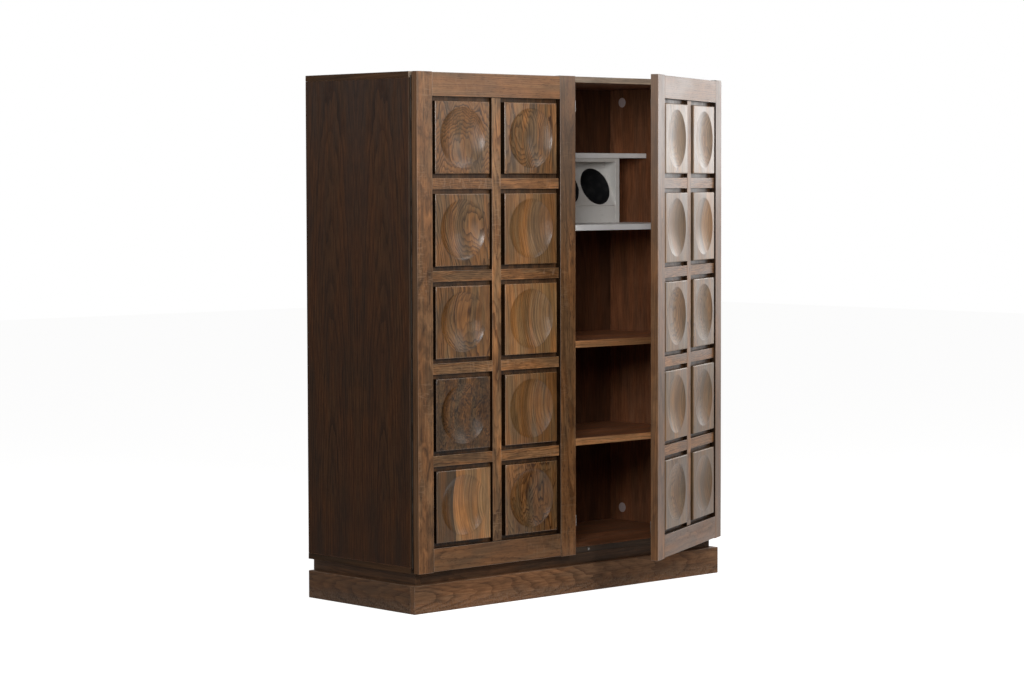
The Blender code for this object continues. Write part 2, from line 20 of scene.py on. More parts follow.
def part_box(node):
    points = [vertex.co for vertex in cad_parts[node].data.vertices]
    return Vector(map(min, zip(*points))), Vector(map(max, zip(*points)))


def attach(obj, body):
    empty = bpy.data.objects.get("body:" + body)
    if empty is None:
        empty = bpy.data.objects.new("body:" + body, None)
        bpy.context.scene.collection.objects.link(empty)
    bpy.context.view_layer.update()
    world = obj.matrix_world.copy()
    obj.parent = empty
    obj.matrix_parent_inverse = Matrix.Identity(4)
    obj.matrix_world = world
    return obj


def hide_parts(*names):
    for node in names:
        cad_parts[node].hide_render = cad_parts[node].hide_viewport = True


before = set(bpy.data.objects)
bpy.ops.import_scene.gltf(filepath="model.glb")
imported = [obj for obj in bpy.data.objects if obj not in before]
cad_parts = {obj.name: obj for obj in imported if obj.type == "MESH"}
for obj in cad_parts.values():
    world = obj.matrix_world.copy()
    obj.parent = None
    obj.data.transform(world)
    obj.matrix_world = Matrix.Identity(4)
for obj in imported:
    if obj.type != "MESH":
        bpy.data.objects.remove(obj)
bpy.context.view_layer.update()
LOG = logging.getLogger("bar_cabinet")

Colour = tuple[float, float, float]
Row = tuple[int, float]
Socket = bpy.types.NodeSocket
Mesh = bpy.types.Mesh
BMesh = bmesh.types.BMesh
Feed = Union[Socket, float, str, Sequence[float]]
Feeds = Union[Sequence[Feed], dict[Union[int, str], Feed]]


class Axis(Enum):
    """The way that a board's grain runs, in its body's own frame."""

    X = 0
    Y = 1
    Z = 2


class Facing(Enum):
    """The six ways that a board's face can look, as an axis and a sign."""

    LEFT = (0, -1)
    RIGHT = (0, 1)
    FRONT = (1, -1)
    BACK = (1, 1)
    UNDER = (2, -1)
    TOP = (2, 1)


class Body(Enum):
    """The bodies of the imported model, each with its hinge line and the angle that it rests at."""

    CARCASS = ("carcass", 0.0, 0.0, 0.0)
    LEFT_DOOR = ("left_door", -0.567, -0.212, 0.0)
    RIGHT_DOOR = ("right_door", 0.567, -0.212, radians(25.7))

    @property
    def label(self) -> str:
        """The body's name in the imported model."""
        return self.value[0]

    @property
    def hinge(self) -> Matrix:
        """From a frame about the body's hinge line, unturned, to the model's frame."""
        return Matrix.Translation((self.value[1], self.value[2], 0.0))

    @property
    def place(self) -> Matrix:
        """From the body's own frame, with a door shut about its hinge, to the model's frame at rest."""
        return self.hinge @ Matrix.Rotation(self.value[3], 4, "Z")

    def own(self, spots: np.ndarray) -> np.ndarray:
        """Takes points from the model's frame at rest to the body's own."""
        back = np.array(self.place.inverted())
        return spots @ back[:3, :3].T + back[:3, 3]


@dataclass(frozen=True)
class Marks:
    """The marks of a noise.

    Their sizes are in metres along each axis. Detail adds finer ones, and stir twists them. They show where
    the noise, which is mostly near a half, rises from start to end.
    """

    sizes: tuple[float, float, float]
    detail: float = 2.0
    stir: float = 0.0
    start: float = 0.3
    end: float = 0.7

    @property
    def span(self) -> tuple[float, float]:
        """The levels that the marks rise between."""
        return self.start, self.end


class NodeGraph:
    """Writes the nodes of one tree."""

    def __init__(self, tree: bpy.types.NodeTree) -> None:
        """Starts with the tree emptied."""
        self.tree = tree
        tree.nodes.clear()

    def feed(self, socket: Socket, value: Feed) -> None:
        """Links a socket, or sets its value.

        Args:
            socket: the input to feed.
            value: another node's output, a number, or the parts of a vector or colour.
        """
        if isinstance(value, Socket):
            self.tree.links.new(value, socket)
        elif socket.type == "RGBA" and len(value) == 3:
            socket.default_value = (*value, 1.0)
        else:
            socket.default_value = value

    def node(self, kind: str, inputs: Feeds = (), **settings: object) -> bpy.types.Node:
        """Adds a node.

        Args:
            kind: the node's type.
            inputs: what its sockets are fed with, in their order or by their names or numbers.
            settings: the node's own properties.
        Returns:
            The new node.
        """
        made = self.tree.nodes.new(kind)
        for name, value in settings.items():
            setattr(made, name, value)
        for key, value in inputs.items() if isinstance(inputs, dict) else enumerate(inputs):
            self.feed(made.inputs[key], value)
        return made

    def out(self, kind: str, inputs: Feeds = (), **settings: object) -> Socket:
        """Adds a node in the same way, and gives its first output."""
        return self.node(kind, inputs, **settings).outputs[0]


class ShaderGraph(NodeGraph):
    """Writes the nodes of one material or world."""

    def __init__(self, owner: bpy.types.Material | bpy.types.World) -> None:
        """Starts on a new material or world."""
        owner.use_nodes = True
        super().__init__(owner.node_tree)
        self.owner = owner

    def attribute(self, name: str, output: str = "Fac") -> Socket:
        """Reads an attribute of the mesh through one of the node's outputs."""
        return self.node("ShaderNodeAttribute", attribute_name=name).outputs[output]

    def place(self) -> Socket:
        """The point's place in the object's own coordinates."""
        return self.node("ShaderNodeTexCoord").outputs["Object"]

    def height(self) -> Socket:
        """The point's height above the floor."""
        return self.split(self.place())[2]

    def seen(self) -> Socket:
        """A number that is 1 for camera, glossy and transmission rays."""
        rays = self.node("ShaderNodeLightPath").outputs
        kinds = ("Camera", "Glossy", "Transmission")
        return self.math("MAXIMUM", *(rays[f"Is {kind} Ray"] for kind in kinds))

    def math(self, operation: str, *parts: Feed) -> Socket:
        """Works out a sum from left to right.

        Args:
            operation: the Math node's operation.
            parts: its numbers.
        Returns:
            The result.
        """
        total, *others = parts
        for part in others or [0.0]:
            total = self.out("ShaderNodeMath", (total, part), operation=operation)
        return total

    def times(self, *parts: Feed) -> Socket:
        """The product of some numbers."""
        return self.math("MULTIPLY", *parts)

    def plus(self, *parts: Feed) -> Socket:
        """The sum of some numbers."""
        return self.math("ADD", *parts)

    def less(self, *parts: Feed) -> Socket:
        """The first number less the others."""
        return self.math("SUBTRACT", *parts)

    def split(self, vector: Feed) -> tuple[Socket, ...]:
        """Takes a vector apart into its three numbers."""
        return tuple(self.node("ShaderNodeSeparateXYZ", (vector,)).outputs)

    def joined(self, *parts: Feed) -> Socket:
        """Makes a vector of three numbers."""
        return self.out("ShaderNodeCombineXYZ", parts)

    def noise(self, vector: Feed, marks: Marks) -> Socket:
        """A noise, from 0 to 1.

        Args:
            vector: where to read it.
            marks: its marks.
        Returns:
            The noise.
        """
        spot = self.out("ShaderNodeVectorMath", (vector, marks.sizes), operation="DIVIDE")
        inputs = {"Vector": spot, "Scale": 1.0, "Detail": marks.detail, "Distortion": marks.stir}
        return self.out("ShaderNodeTexNoise", inputs)

    def level(self, value: Feed, start: float, end: float, low: Feed = 0.0, high: Feed = 1.0) -> Socket:
        """Eases from low to high while a number goes from start to end.

        Args:
            value: the number.
            start: where the change starts.
            end: where it ends.
            low: the result before it.
            high: the result after it.
        Returns:
            The eased number.
        """
        parts = (value, start, end, low, high)
        return self.out("ShaderNodeMapRange", parts, interpolation_type="SMOOTHSTEP")

    def marked(self, vector: Feed, marks: Marks, low: Feed = 0.0, high: Feed = 1.0) -> Socket:
        """Eases from low to high where a noise's marks show.

        Args:
            vector: where to read it.
            marks: its marks.
            low: the result beside the marks.
            high: the result on them.
        Returns:
            The eased number.
        """
        return self.level(self.noise(vector, marks), *marks.span, low, high)

    def mixed(self, share: Feed, first: Feed, second: Feed, way: str = "MIX") -> Socket:
        """Mixes two colours.

        Args:
            share: how much of the second, from 0 to 1.
            first: the first colour.
            second: the second colour.
            way: the Mix node's blend type.
        Returns:
            The mixed colour.
        """
        inputs = {0: share, 6: first, 7: second}
        return self.node("ShaderNodeMix", inputs, data_type="RGBA", blend_type=way).outputs[2]

    def bump(self, height: Feed, strength: float, depth: float) -> Socket:
        """A normal from a height.

        Args:
            height: the height, from 0 to 1.
            strength: how much of it shows.
            depth: the height's size in metres.
        Returns:
            The bumped normal.
        """
        return self.out("ShaderNodeBump", {"Strength": strength, "Distance": depth, "Height": height})

    def shade(self, **sockets: Feed) -> bpy.types.Material:
        """Ends the material in a Principled shader.

        Args:
            sockets: the shader's inputs, with _ for a blank in their names.
        Returns:
            The finished material.
        """
        inputs = {name.replace("_", " "): value for name, value in sockets.items()}
        self.node("ShaderNodeOutputMaterial", (self.out("ShaderNodeBsdfPrincipled", inputs),))
        return self.owner


# The marks of wood, in the log's frame: two sizes across the grain and one along it
STREAKS = Marks((0.0042, 0.0042, 0.16), 3.0)
DRIFT = Marks((0.05, 0.05, 0.32), 2.0, 0.4)
CLOUDS = Marks((0.026, 0.026, 0.06), 4.0, 0.8)
BURR_EYES = Marks((0.017, 0.017, 0.017), 2.0, 1.6)
COOL_PATCHES = Marks((0.035, 0.035, 0.22), 2.0, 0.6, 0.4, 0.62)
RING_WOBBLE = Marks((0.045, 0.045, 0.2))
RING_RIPPLE = Marks((0.012, 0.012, 0.05))
RING_STRENGTH = Marks((1.0, 1.0, 1.0), 1.0, 0.0, 0.35, 0.65)
FLECKS = Marks((0.03, 0.03, 0.0062), 1.0, 1.1, 0.55, 0.63)
FLECK_PATCHES = Marks((0.08, 0.08, 0.16), 1.0, 0.0, 0.48, 0.62)
RUBBED_AND_HIGHLIT_PATCHES = Marks((0.02, 0.02, 0.05), 2.0, 0.0, 0.35, 0.7)
SCUFF_SPECKS = Marks((0.004, 0.004, 0.004), 3.0, 0.0, 0.4, 0.65)

# The marks of the other finishes, in the object's frame
LAMINATE_CLOUDS = Marks((0.11, 0.11, 0.07), 3.0, 0.0, 0.35, 0.7)
LAMINATE_SCUFFS = Marks((0.03, 0.004, 0.004), 2.0, 0.0, 0.66, 0.76)
LAMINATE_PEEL = Marks((0.0025, 0.0025, 0.0025), 1.0)
PLASTIC_DUST = Marks((0.02, 0.02, 0.02), 3.0, 0.0, 0.4, 0.75)
PLASTIC_SKIN = Marks((0.0008, 0.0008, 0.0008))
STEEL_TARNISH = Marks((0.012, 0.012, 0.04), 3.0, 0.5, 0.4, 0.68)
STEEL_DRAWING = Marks((0.0004, 0.0004, 0.03), 1.0)

# Where things start and end: tones from dark, as in painted shade, to plain, swirls, and heights above the
# floor in metres
PLAIN_TONES = (0.2, 0.7)
CALM_SWIRLS = (-0.3, 0.0)
BURR_SWIRLS = (2.0, 4.0)
SHEEN_PAINT_HEIGHTS = (0.8, 1.4)
SCUFF_HEIGHTS = (0.045, 0.004)

WARM_TINT = (1.13, 0.99, 0.76)
COOL_TINT = (0.81, 0.90, 0.91)
# The colour of the painted sheen higher up, which stands in for reflected light
SHEEN_PAINT_COLOUR = (0.180, 0.150, 0.130)
STRIP_SHIFT = (0.043, 0.021, 1.7)
RIPPLE_SIZE = 0.0008
GRAIN_RELIEF = 0.0004
BURR_CONTRAST = 2.4
DARKEST_CLOUD = 0.3

# How much streaks lift the surface, how much pores and early wood sink it, and what else pores and drift do
STREAK_RISE = 0.4
PORE_SINK = 0.8
EARLY_SINK = 0.25
EARLY_PORES = 0.4
PORE_ROUGHNESS = 0.3
DRIFT_ROUGHNESS = 0.05


@dataclass(frozen=True)
class WoodFinish:
    """A wood with its colours, figure and polish.

    The figure is cut from a log. A board's "grain" attribute says where it lay in it, in metres: across and
    deep, both from the heart, and along. Its "tone" is how light the board is, and "wild" how much its rings
    swirl. A finish with a leaf width is a veneer instead, laid in mirrored pairs of leaves of that width.
    Sheen paint is a pale painted sheen higher up that stands in for reflected light, scuff is the marks of use
    at the foot, wear pales the arrises, partly worn and partly as a painted highlight, and burnish is polish on
    the arrises.
    """

    name: str
    pale: Colour
    dark: Colour
    pore: Colour
    worn: Colour
    ring: float = 0.0034
    ring_depth: float = 0.75
    wobble: float = 0.005
    streaks: float = 0.24
    drift: float = 0.22
    mottle: float = 0.08
    hue: float = 0.5
    rays: float = 0.0
    pore_width: float = 0.0011
    pore_length: float = 0.014
    pore_depth: float = 0.2
    wear: float = 0.5
    roughness: float = 0.46
    gloss: float = 0.22
    burnish: float = 0.0
    bloom: float = 0.0
    scuff: float = 0.0
    relief: float = 0.3
    leaf: float = 0.0
    leaf_heart: float = 0.05
    leaf_lean: float = 0.07
    strips: bool = False

    def make(self) -> bpy.types.Material:
        """Writes the wood's material.

        Returns:
            The material.
        """
        g = ShaderGraph(bpy.data.materials.new(self.name))
        grain, tone = g.attribute("grain", "Vector"), g.attribute("tone")
        if self.strips:
            grain, tone = self._glued(g, grain, tone)
        if self.leaf:
            grain = self._leaves(g, grain)
        wild, edge = g.attribute("wild"), g.attribute("edge")
        early = self._rings(g, grain, wild)
        pore_marks = Marks((self.pore_width, self.pore_width, self.pore_length), 1.5, 0.0, 0.55, 0.68)
        pores = g.times(g.marked(grain, pore_marks), g.plus(g.times(early, EARLY_PORES), self.pore_depth))
        streak, drift = g.noise(grain, STREAKS), g.noise(grain, DRIFT)
        light = g.times(
            g.level(streak, *STREAKS.span, 1 - self.streaks, 1 + self.streaks),
            g.level(drift, *DRIFT.span, 1 - self.drift, 1 + self.drift),
            self._clouds(g, grain, wild),
            tone,
        )
        colour = g.mixed(g.times(early, self.ring_depth), self.pale, self.dark)
        colour = g.mixed(1.0, colour, light, "MULTIPLY")
        tint = g.mixed(g.marked(grain, COOL_PATCHES), WARM_TINT, COOL_TINT)
        colour = g.mixed(self.hue, colour, tint, "MULTIPLY")
        colour = g.mixed(pores, colour, self.pore)
        colour = self._aged(g, colour, grain, edge, g.level(tone, *PLAIN_TONES))
        # Painted shade darkens the blocks' side walls and the rims of their dishes
        if self.strips:
            colour = g.mixed(1.0, colour, g.less(1.0, g.attribute("stain")), "MULTIPLY")
        height = g.less(g.times(streak, STREAK_RISE), g.times(pores, PORE_SINK), g.times(early, EARLY_SINK))
        polish = g.level(drift, *DRIFT.span, -DRIFT_ROUGHNESS, DRIFT_ROUGHNESS)
        return g.shade(
            Base_Color=colour,
            Roughness=g.plus(polish, g.times(pores, PORE_ROUGHNESS), self.roughness),
            Specular_IOR_Level=g.plus(g.times(edge, self.burnish), self.gloss),
            Normal=g.bump(height, self.relief, GRAIN_RELIEF),
        )

    def _glued(self, g: ShaderGraph, grain: Feed, tone: Feed) -> tuple[Feed, Feed]:
        """Lets a block be glued from two strips of different trees.

        Args:
            g: the graph.
            grain: the place in the first strip's log.
            tone: the first strip's tone.
        Returns:
            The place and the tone on both strips.
        """
        beyond = g.math("GREATER_THAN", g.attribute("strip"), 0.0)
        moved = (g.plus(part, g.times(beyond, shift)) for part, shift in zip(g.split(grain), STRIP_SHIFT))
        return g.joined(*moved), g.plus(tone, g.times(beyond, g.attribute("second")))

    def _leaves(self, g: ShaderGraph, grain: Feed) -> Socket:
        """Mirrors the figure from leaf to leaf.

        Args:
            g: the graph.
            grain: the place on the panel.
        Returns:
            The place in the log that the leaves were cut from.
        """
        x, y, z = g.split(grain)
        across = g.less(g.math("PINGPONG", x, self.leaf), 0.5 * self.leaf)
        lean = g.plus(g.times(z, self.leaf_lean), self.leaf_heart)
        return g.joined(across, g.plus(y, lean), z)

    def _rings(self, g: ShaderGraph, grain: Feed, wild: Feed) -> Socket:
        """The year rings: each starts dark and porous and turns pale.

        Args:
            g: the graph.
            grain: the place in the log.
            wild: how much the rings swirl.
        Returns:
            How dark the ring is, from 0 to 1.
        """
        x, y, _ = g.split(grain)
        reach = g.math("SQRT", g.plus(g.times(x, x), g.times(y, y)))
        swirl = g.plus(wild, 1.0)
        for marks, amount in ((RING_WOBBLE, self.wobble), (RING_RIPPLE, RIPPLE_SIZE)):
            stir = g.less(g.noise(grain, marks), 0.5)
            reach = g.plus(reach, g.times(stir, swirl, 2.0 * amount))
        phase = g.math("DIVIDE", reach, self.ring)
        strong = g.marked(g.joined(g.times(phase, 0.55), 0.0, 0.0), RING_STRENGTH, 0.3, 1.0)
        dark = g.level(g.math("FRACT", phase), 0.7, 0.0)
        return g.times(dark, strong, g.level(wild, *CALM_SWIRLS, 0.5, 1.0))

    def _clouds(self, g: ShaderGraph, grain: Feed, wild: Feed) -> Socket:
        """Lighter and darker clouds, with the eyes of a burr where the figure is wild.

        Args:
            g: the graph.
            grain: the place in the log.
            wild: how much the rings swirl.
        Returns:
            How light the wood is, about 1.
        """
        cloud = g.times(g.less(g.noise(grain, CLOUDS), 0.5), 4.0 * self.mottle)
        burr = g.level(wild, *BURR_SWIRLS, 0.0, BURR_CONTRAST)
        eyes = g.times(g.less(g.noise(grain, BURR_EYES), 0.5), burr)
        return g.math("MAXIMUM", g.plus(cloud, eyes, 1.0), DARKEST_CLOUD)

    def _aged(self, g: ShaderGraph, colour: Feed, grain: Feed, edge: Feed, plain_share: Feed) -> Socket:
        """Adds the pale marks: ray flecks, worn arrises that also carry a painted highlight, a painted sheen
        higher up, and scuffs at the foot.

        Args:
            g: the graph.
            colour: the wood's colour.
            grain: the place in the log.
            edge: where the arrises are.
            plain_share: how far the tone is from dark, so that a groove darkened with painted shade isn't worn
                pale.
        Returns:
            The colour with its marks.
        """
        if self.rays:
            flecks = g.times(g.marked(grain, FLECKS), g.marked(grain, FLECK_PATCHES), self.rays, plain_share)
            colour = g.mixed(flecks, colour, self.worn)
        # Arrises are paler, partly worn and partly as a painted highlight
        rubbed_and_highlit = g.times(edge, g.marked(grain, RUBBED_AND_HIGHLIT_PATCHES, 0.3, 1.0), g.times(plain_share, self.wear))
        colour = g.mixed(rubbed_and_highlit, colour, self.worn)
        # Painted sheen: paler higher up, standing in for reflected light
        if self.bloom:
            painted_sheen = g.times(g.level(g.height(), *SHEEN_PAINT_HEIGHTS, 0.0, self.bloom), plain_share)
            colour = g.mixed(painted_sheen, colour, SHEEN_PAINT_COLOUR)
        if self.scuff:
            foot = g.level(g.height(), *SCUFF_HEIGHTS, 0.0, self.scuff)
            colour = g.mixed(g.times(foot, g.marked(g.place(), SCUFF_SPECKS)), colour, self.worn)
        return colour


@dataclass(frozen=True)
class LaminateFinish:
    """White laminate, a little yellowed and scuffed."""

    name: str
    clean: Colour
    aged: Colour
    roughness: float = 0.4
    gloss: float = 0.35

    def make(self) -> bpy.types.Material:
        """Writes the laminate's material.

        Returns:
            The material.
        """
        g = ShaderGraph(bpy.data.materials.new(self.name))
        place = g.place()
        cloud = g.marked(place, LAMINATE_CLOUDS)
        colour = g.mixed(cloud, self.clean, self.aged)
        scuffed = tuple(0.72 * part for part in self.aged)
        return g.shade(
            Base_Color=g.mixed(g.marked(place, LAMINATE_SCUFFS, 0.0, 0.35), colour, scuffed),
            Roughness=g.plus(g.times(cloud, 0.12), self.roughness),
            Specular_IOR_Level=self.gloss,
            Normal=g.bump(g.noise(place, LAMINATE_PEEL), 0.12, 0.0002),
        )


@dataclass(frozen=True)
class MouldedFinish:
    """Moulded plastic with a fine grained skin."""

    name: str
    colour: Colour
    dusty: Colour
    dust: float = 0.5
    roughness: float = 0.5
    gloss: float = 0.3

    def make(self) -> bpy.types.Material:
        """Writes the plastic's material.

        Returns:
            The material.
        """
        g = ShaderGraph(bpy.data.materials.new(self.name))
        place = g.place()
        dust = g.marked(place, PLASTIC_DUST, 0.0, self.dust)
        return g.shade(
            Base_Color=g.mixed(dust, self.colour, self.dusty),
            Roughness=g.plus(g.times(dust, 0.25), self.roughness),
            Specular_IOR_Level=self.gloss,
            Normal=g.bump(g.noise(place, PLASTIC_SKIN), 0.25, 0.0002),
        )


@dataclass(frozen=True)
class SteelFinish:
    """Rolled steel, drawn along Z, with tarnish."""

    name: str
    bright: Colour
    tarnish: Colour
    roughness: float = 0.44

    def make(self) -> bpy.types.Material:
        """Writes the steel's material.

        Returns:
            The material.
        """
        g = ShaderGraph(bpy.data.materials.new(self.name))
        place = g.place()
        stain = g.marked(place, STEEL_TARNISH)
        return g.shade(
            Base_Color=g.mixed(stain, self.bright, self.tarnish),
            Metallic=1.0,
            Roughness=g.plus(g.times(stain, 0.2), self.roughness),
            Normal=g.bump(g.noise(place, STEEL_DRAWING), 0.15, 0.0001),
        )


Finish = Union[WoodFinish, LaminateFinish, MouldedFinish, SteelFinish]

DOOR_OAK = WoodFinish(
    "door_oak",
    pale=(0.180, 0.088, 0.040),
    dark=(0.082, 0.035, 0.013),
    pore=(0.040, 0.018, 0.008),
    worn=(0.330, 0.205, 0.125),
    ring=0.0045,
    ring_depth=0.8,
    rays=0.22,
    pore_width=0.0032,
    pore_length=0.016,
    pore_depth=0.42,
    drift=0.16,
    mottle=0.75,
    hue=0.65,
    roughness=0.36,
    gloss=0.15,
    burnish=0.2,
    bloom=0.16,
)
RAIL_OAK = replace(
    DOOR_OAK, name="rail_oak", mottle=0.22, streaks=0.14, ring_depth=0.6, rays=0.1, pore_depth=0.3
)
# The meeting stile's oak has more painted sheen higher up, where no lamp is seen in it
MEETING_SHEEN_PAINTED_OAK = replace(DOOR_OAK, name="hazed_door_oak", mottle=0.34, rays=0.1, pore_depth=0.6, bloom=0.4)
LATTICE_OAK = replace(
    DOOR_OAK,
    name="lattice_flamed_oak",
    pale=(0.205, 0.102, 0.046),
    dark=(0.078, 0.033, 0.013),
    ring=0.0052,
    ring_depth=0.95,
    wobble=0.017,
    drift=0.3,
    mottle=0.4,
    hue=0.8,
    rays=0.26,
    pore_length=0.02,
)
CARVED_OAK = WoodFinish(
    "carved_block_oak",
    pale=(0.232, 0.115, 0.048),
    dark=(0.038, 0.016, 0.006),
    pore=(0.040, 0.018, 0.008),
    worn=(0.360, 0.225, 0.135),
    ring=0.0026,
    ring_depth=0.98,
    wobble=0.0055,
    mottle=0.18,
    hue=1.0,
    wear=0.4,
    roughness=0.22,
    gloss=0.2,
    burnish=0.4,
    bloom=0.12,
    strips=True,
)


def veiled(finish: WoodFinish, **changes: float) -> WoodFinish:
    """The same oak with more painted sheen higher up, standing in for its reflection, and paler pores, as on
    the door that stands open.

    Args:
        finish: the oak without it.
        changes: what else differs.
    Returns:
        The oak with its painted sheen.
    """
    painted_sheen = {"hue": 0.4, "rays": 0.04, "bloom": 0.4, "pore_depth": 0.1, "relief": 0.14, **changes}
    return replace(finish, name=f"veiled_{finish.name}", pore=(0.080, 0.050, 0.034), **painted_sheen)


@dataclass(frozen=True)
class DoorTimber:
    """The finishes of one door's members."""

    stile: WoodFinish = DOOR_OAK
    meeting: WoodFinish = MEETING_SHEEN_PAINTED_OAK
    rail: WoodFinish = RAIL_OAK
    lattice: WoodFinish = LATTICE_OAK
    block: WoodFinish = CARVED_OAK


# The door that stands open: its pale look of reflected light is painted sheen
SHEEN_PAINTED_TIMBER = DoorTimber(
    veiled(DOOR_OAK, mottle=0.3),
    veiled(MEETING_SHEEN_PAINTED_OAK, bloom=0.5),
    veiled(RAIL_OAK),
    veiled(LATTICE_OAK, mottle=0.2),
    veiled(
        replace(CARVED_OAK, pale=(0.208, 0.118, 0.056)),
        roughness=0.36,
        gloss=0.27,
        burnish=0.0,
        wear=0.15,
        ring_depth=0.7,
        hue=0.7,
    ),
)
CASE_VENEER = WoodFinish(
    "case_veneer",
    pale=(0.047, 0.0192, 0.0078),
    dark=(0.0200, 0.0075, 0.0028),
    pore=(0.0145, 0.0060, 0.0030),
    worn=(0.170, 0.105, 0.072),
    ring=0.0085,
    ring_depth=0.85,
    wobble=0.008,
    streaks=0.3,
    mottle=0.12,
    roughness=0.45,
    gloss=0.045,
    relief=0.15,
    leaf=0.21,
)
CASE_EDGE = WoodFinish(
    "case_edge_oak",
    pale=(0.215, 0.135, 0.090),
    dark=(0.130, 0.075, 0.046),
    pore=(0.050, 0.026, 0.015),
    worn=(0.300, 0.215, 0.160),
    ring_depth=0.6,
    gloss=0.1,
    roughness=0.55,
)
LID_EDGE = replace(CASE_EDGE, name="lid_edge_oak", pale=(0.270, 0.215, 0.175), dark=(0.175, 0.138, 0.110))
DOOR_SIDE_OAK = replace(
    CASE_EDGE,
    name="door_side_oak",
    pale=(0.215, 0.118, 0.068),
    dark=(0.130, 0.064, 0.034),
    worn=(0.230, 0.140, 0.090),
    gloss=0.03,
    roughness=0.6,
)
INSIDE_VENEER = WoodFinish(
    "inside_veneer_figure",
    pale=(0.240, 0.099, 0.049),
    dark=(0.150, 0.058, 0.028),
    pore=(0.075, 0.028, 0.015),
    worn=(0.300, 0.150, 0.085),
    ring=0.006,
    streaks=0.2,
    roughness=0.5,
    gloss=0.2,
    relief=0.12,
    leaf=0.28,
)
SHELF_VENEER = WoodFinish(
    "shelf_veneer_figure",
    pale=(0.430, 0.215, 0.100),
    dark=(0.275, 0.125, 0.055),
    pore=(0.085, 0.036, 0.016),
    worn=(0.400, 0.225, 0.125),
    gloss=0.2,
    relief=0.15,
)
PLINTH_OAK = WoodFinish(
    "plinth_stained_oak",
    pale=(0.172, 0.086, 0.044),
    dark=(0.058, 0.027, 0.014),
    pore=(0.038, 0.018, 0.009),
    worn=(0.310, 0.225, 0.165),
    ring=0.0042,
    ring_depth=0.72,
    wobble=0.007,
    mottle=0.2,
    wear=0.35,
    scuff=0.32,
    gloss=0.1,
    roughness=0.52,
)
BACK_BOARD = WoodFinish(
    "back_hardboard",
    pale=(0.205, 0.120, 0.070),
    dark=(0.165, 0.092, 0.052),
    pore=(0.100, 0.055, 0.030),
    worn=(0.250, 0.160, 0.100),
    ring=0.02,
    streaks=0.08,
    gloss=0.1,
    roughness=0.68,
)
WHITE_LAMINATE = LaminateFinish("white_rack_laminate", (0.700, 0.682, 0.650), (0.615, 0.588, 0.542))
BLACK_SLEEVE = MouldedFinish("black_sleeve_plastic", (0.010, 0.010, 0.011), (0.032, 0.030, 0.028), gloss=0.2)
PALE_PLASTIC = MouldedFinish("pale_fitting_plastic", (0.560, 0.530, 0.520), (0.430, 0.400, 0.385))
CAP_PLASTIC = MouldedFinish("cover_cap_plastic", (0.560, 0.450, 0.430), (0.430, 0.340, 0.320))
WHITE_EDGING = LaminateFinish("white_board_laminate", (0.930, 0.915, 0.905), (0.840, 0.818, 0.798))
# The hinge steel is nearly black, as painted shade for the narrow gap at the hinge
HINGE_STEEL_PAINTED_SHADE = SteelFinish("bronzed_hinge_steel", (0.038, 0.032, 0.027), (0.020, 0.015, 0.012))
PLATE_STEEL = SteelFinish("bright_plate_steel", (0.165, 0.155, 0.145), (0.070, 0.058, 0.048))


@lru_cache(maxsize=None)
def material_of(finish: Finish) -> bpy.types.Material:
    """A finish's material, made on first use."""
    return finish.make()


def placed(name: str, data: bpy.types.ID) -> bpy.types.Object:
    """Puts a new object into the scene.

    Args:
        name: the object's name.
        data: its mesh, light or camera.
    Returns:
        The object.
    """
    made = bpy.data.objects.new(name, data)
    bpy.context.scene.collection.objects.link(made)
    return made


def read(items: bpy.types.bpy_prop_collection, key: str, wide: int = 1, kind: type = float) -> np.ndarray:
    """Reads one property of all the items of a mesh.

    Args:
        items: its points, faces, corners or values.
        key: the property.
        wide: how many numbers the property has.
        kind: the numbers' type.
    Returns:
        The numbers, in rows where there are several for each item.
    """
    values = np.zeros(len(items) * wide, kind)
    items.foreach_get(key, values)
    return values.reshape(-1, wide) if wide > 1 else values


def store(mesh: Mesh, name: str, domain: str, values: np.ndarray) -> None:
    """Stores an attribute on a mesh.

    Args:
        mesh: the mesh.
        name: the attribute's name.
        domain: what the values belong to.
        values: numbers, or rows of three for vectors.
    """
    kind, key = ("FLOAT_VECTOR", "vector") if values.ndim == 2 else ("FLOAT", "value")
    made = mesh.attributes.new(name, kind, domain)
    made.data.foreach_set(key, np.ascontiguousarray(values, np.float32).ravel())


def new_mesh(name: str, bm: BMesh, smooth: bool = False, outward: bool = True) -> Mesh:
    """Turns a bmesh into a mesh.

    Args:
        name: the mesh's name.
        bm: the bmesh, which is freed.
        smooth: whether its faces are shaded smooth, with edges over 38 degrees left sharp.
        outward: whether to turn the faces of its closed shells outwards.
    Returns:
        The mesh.
    """
    if outward:
        bmesh.ops.recalc_face_normals(bm, faces=bm.faces)
    mesh = bpy.data.meshes.new(name)
    bm.to_mesh(mesh)
    bm.free()
    mesh.polygons.foreach_set("use_smooth", [smooth] * len(mesh.polygons))
    if smooth:
        mesh.set_sharp_from_angle(angle=radians(38))
    return mesh


def add_box(bm: BMesh, low: Sequence[float], high: Sequence[float]) -> None:
    """Adds the six faces of a box.

    Args:
        bm: the bmesh to add to.
        low: one corner.
        high: the opposite corner.
    """
    spots = [(x, y, z) for z in (low[2], high[2]) for y in (low[1], high[1]) for x in (low[0], high[0])]
    corners = [bm.verts.new(spot) for spot in spots]
    for face in ((0, 1, 3, 2), (4, 6, 7, 5), (0, 4, 5, 1), (2, 3, 7, 6), (0, 2, 6, 4), (1, 5, 7, 3)):
        bm.faces.new([corners[k] for k in face])


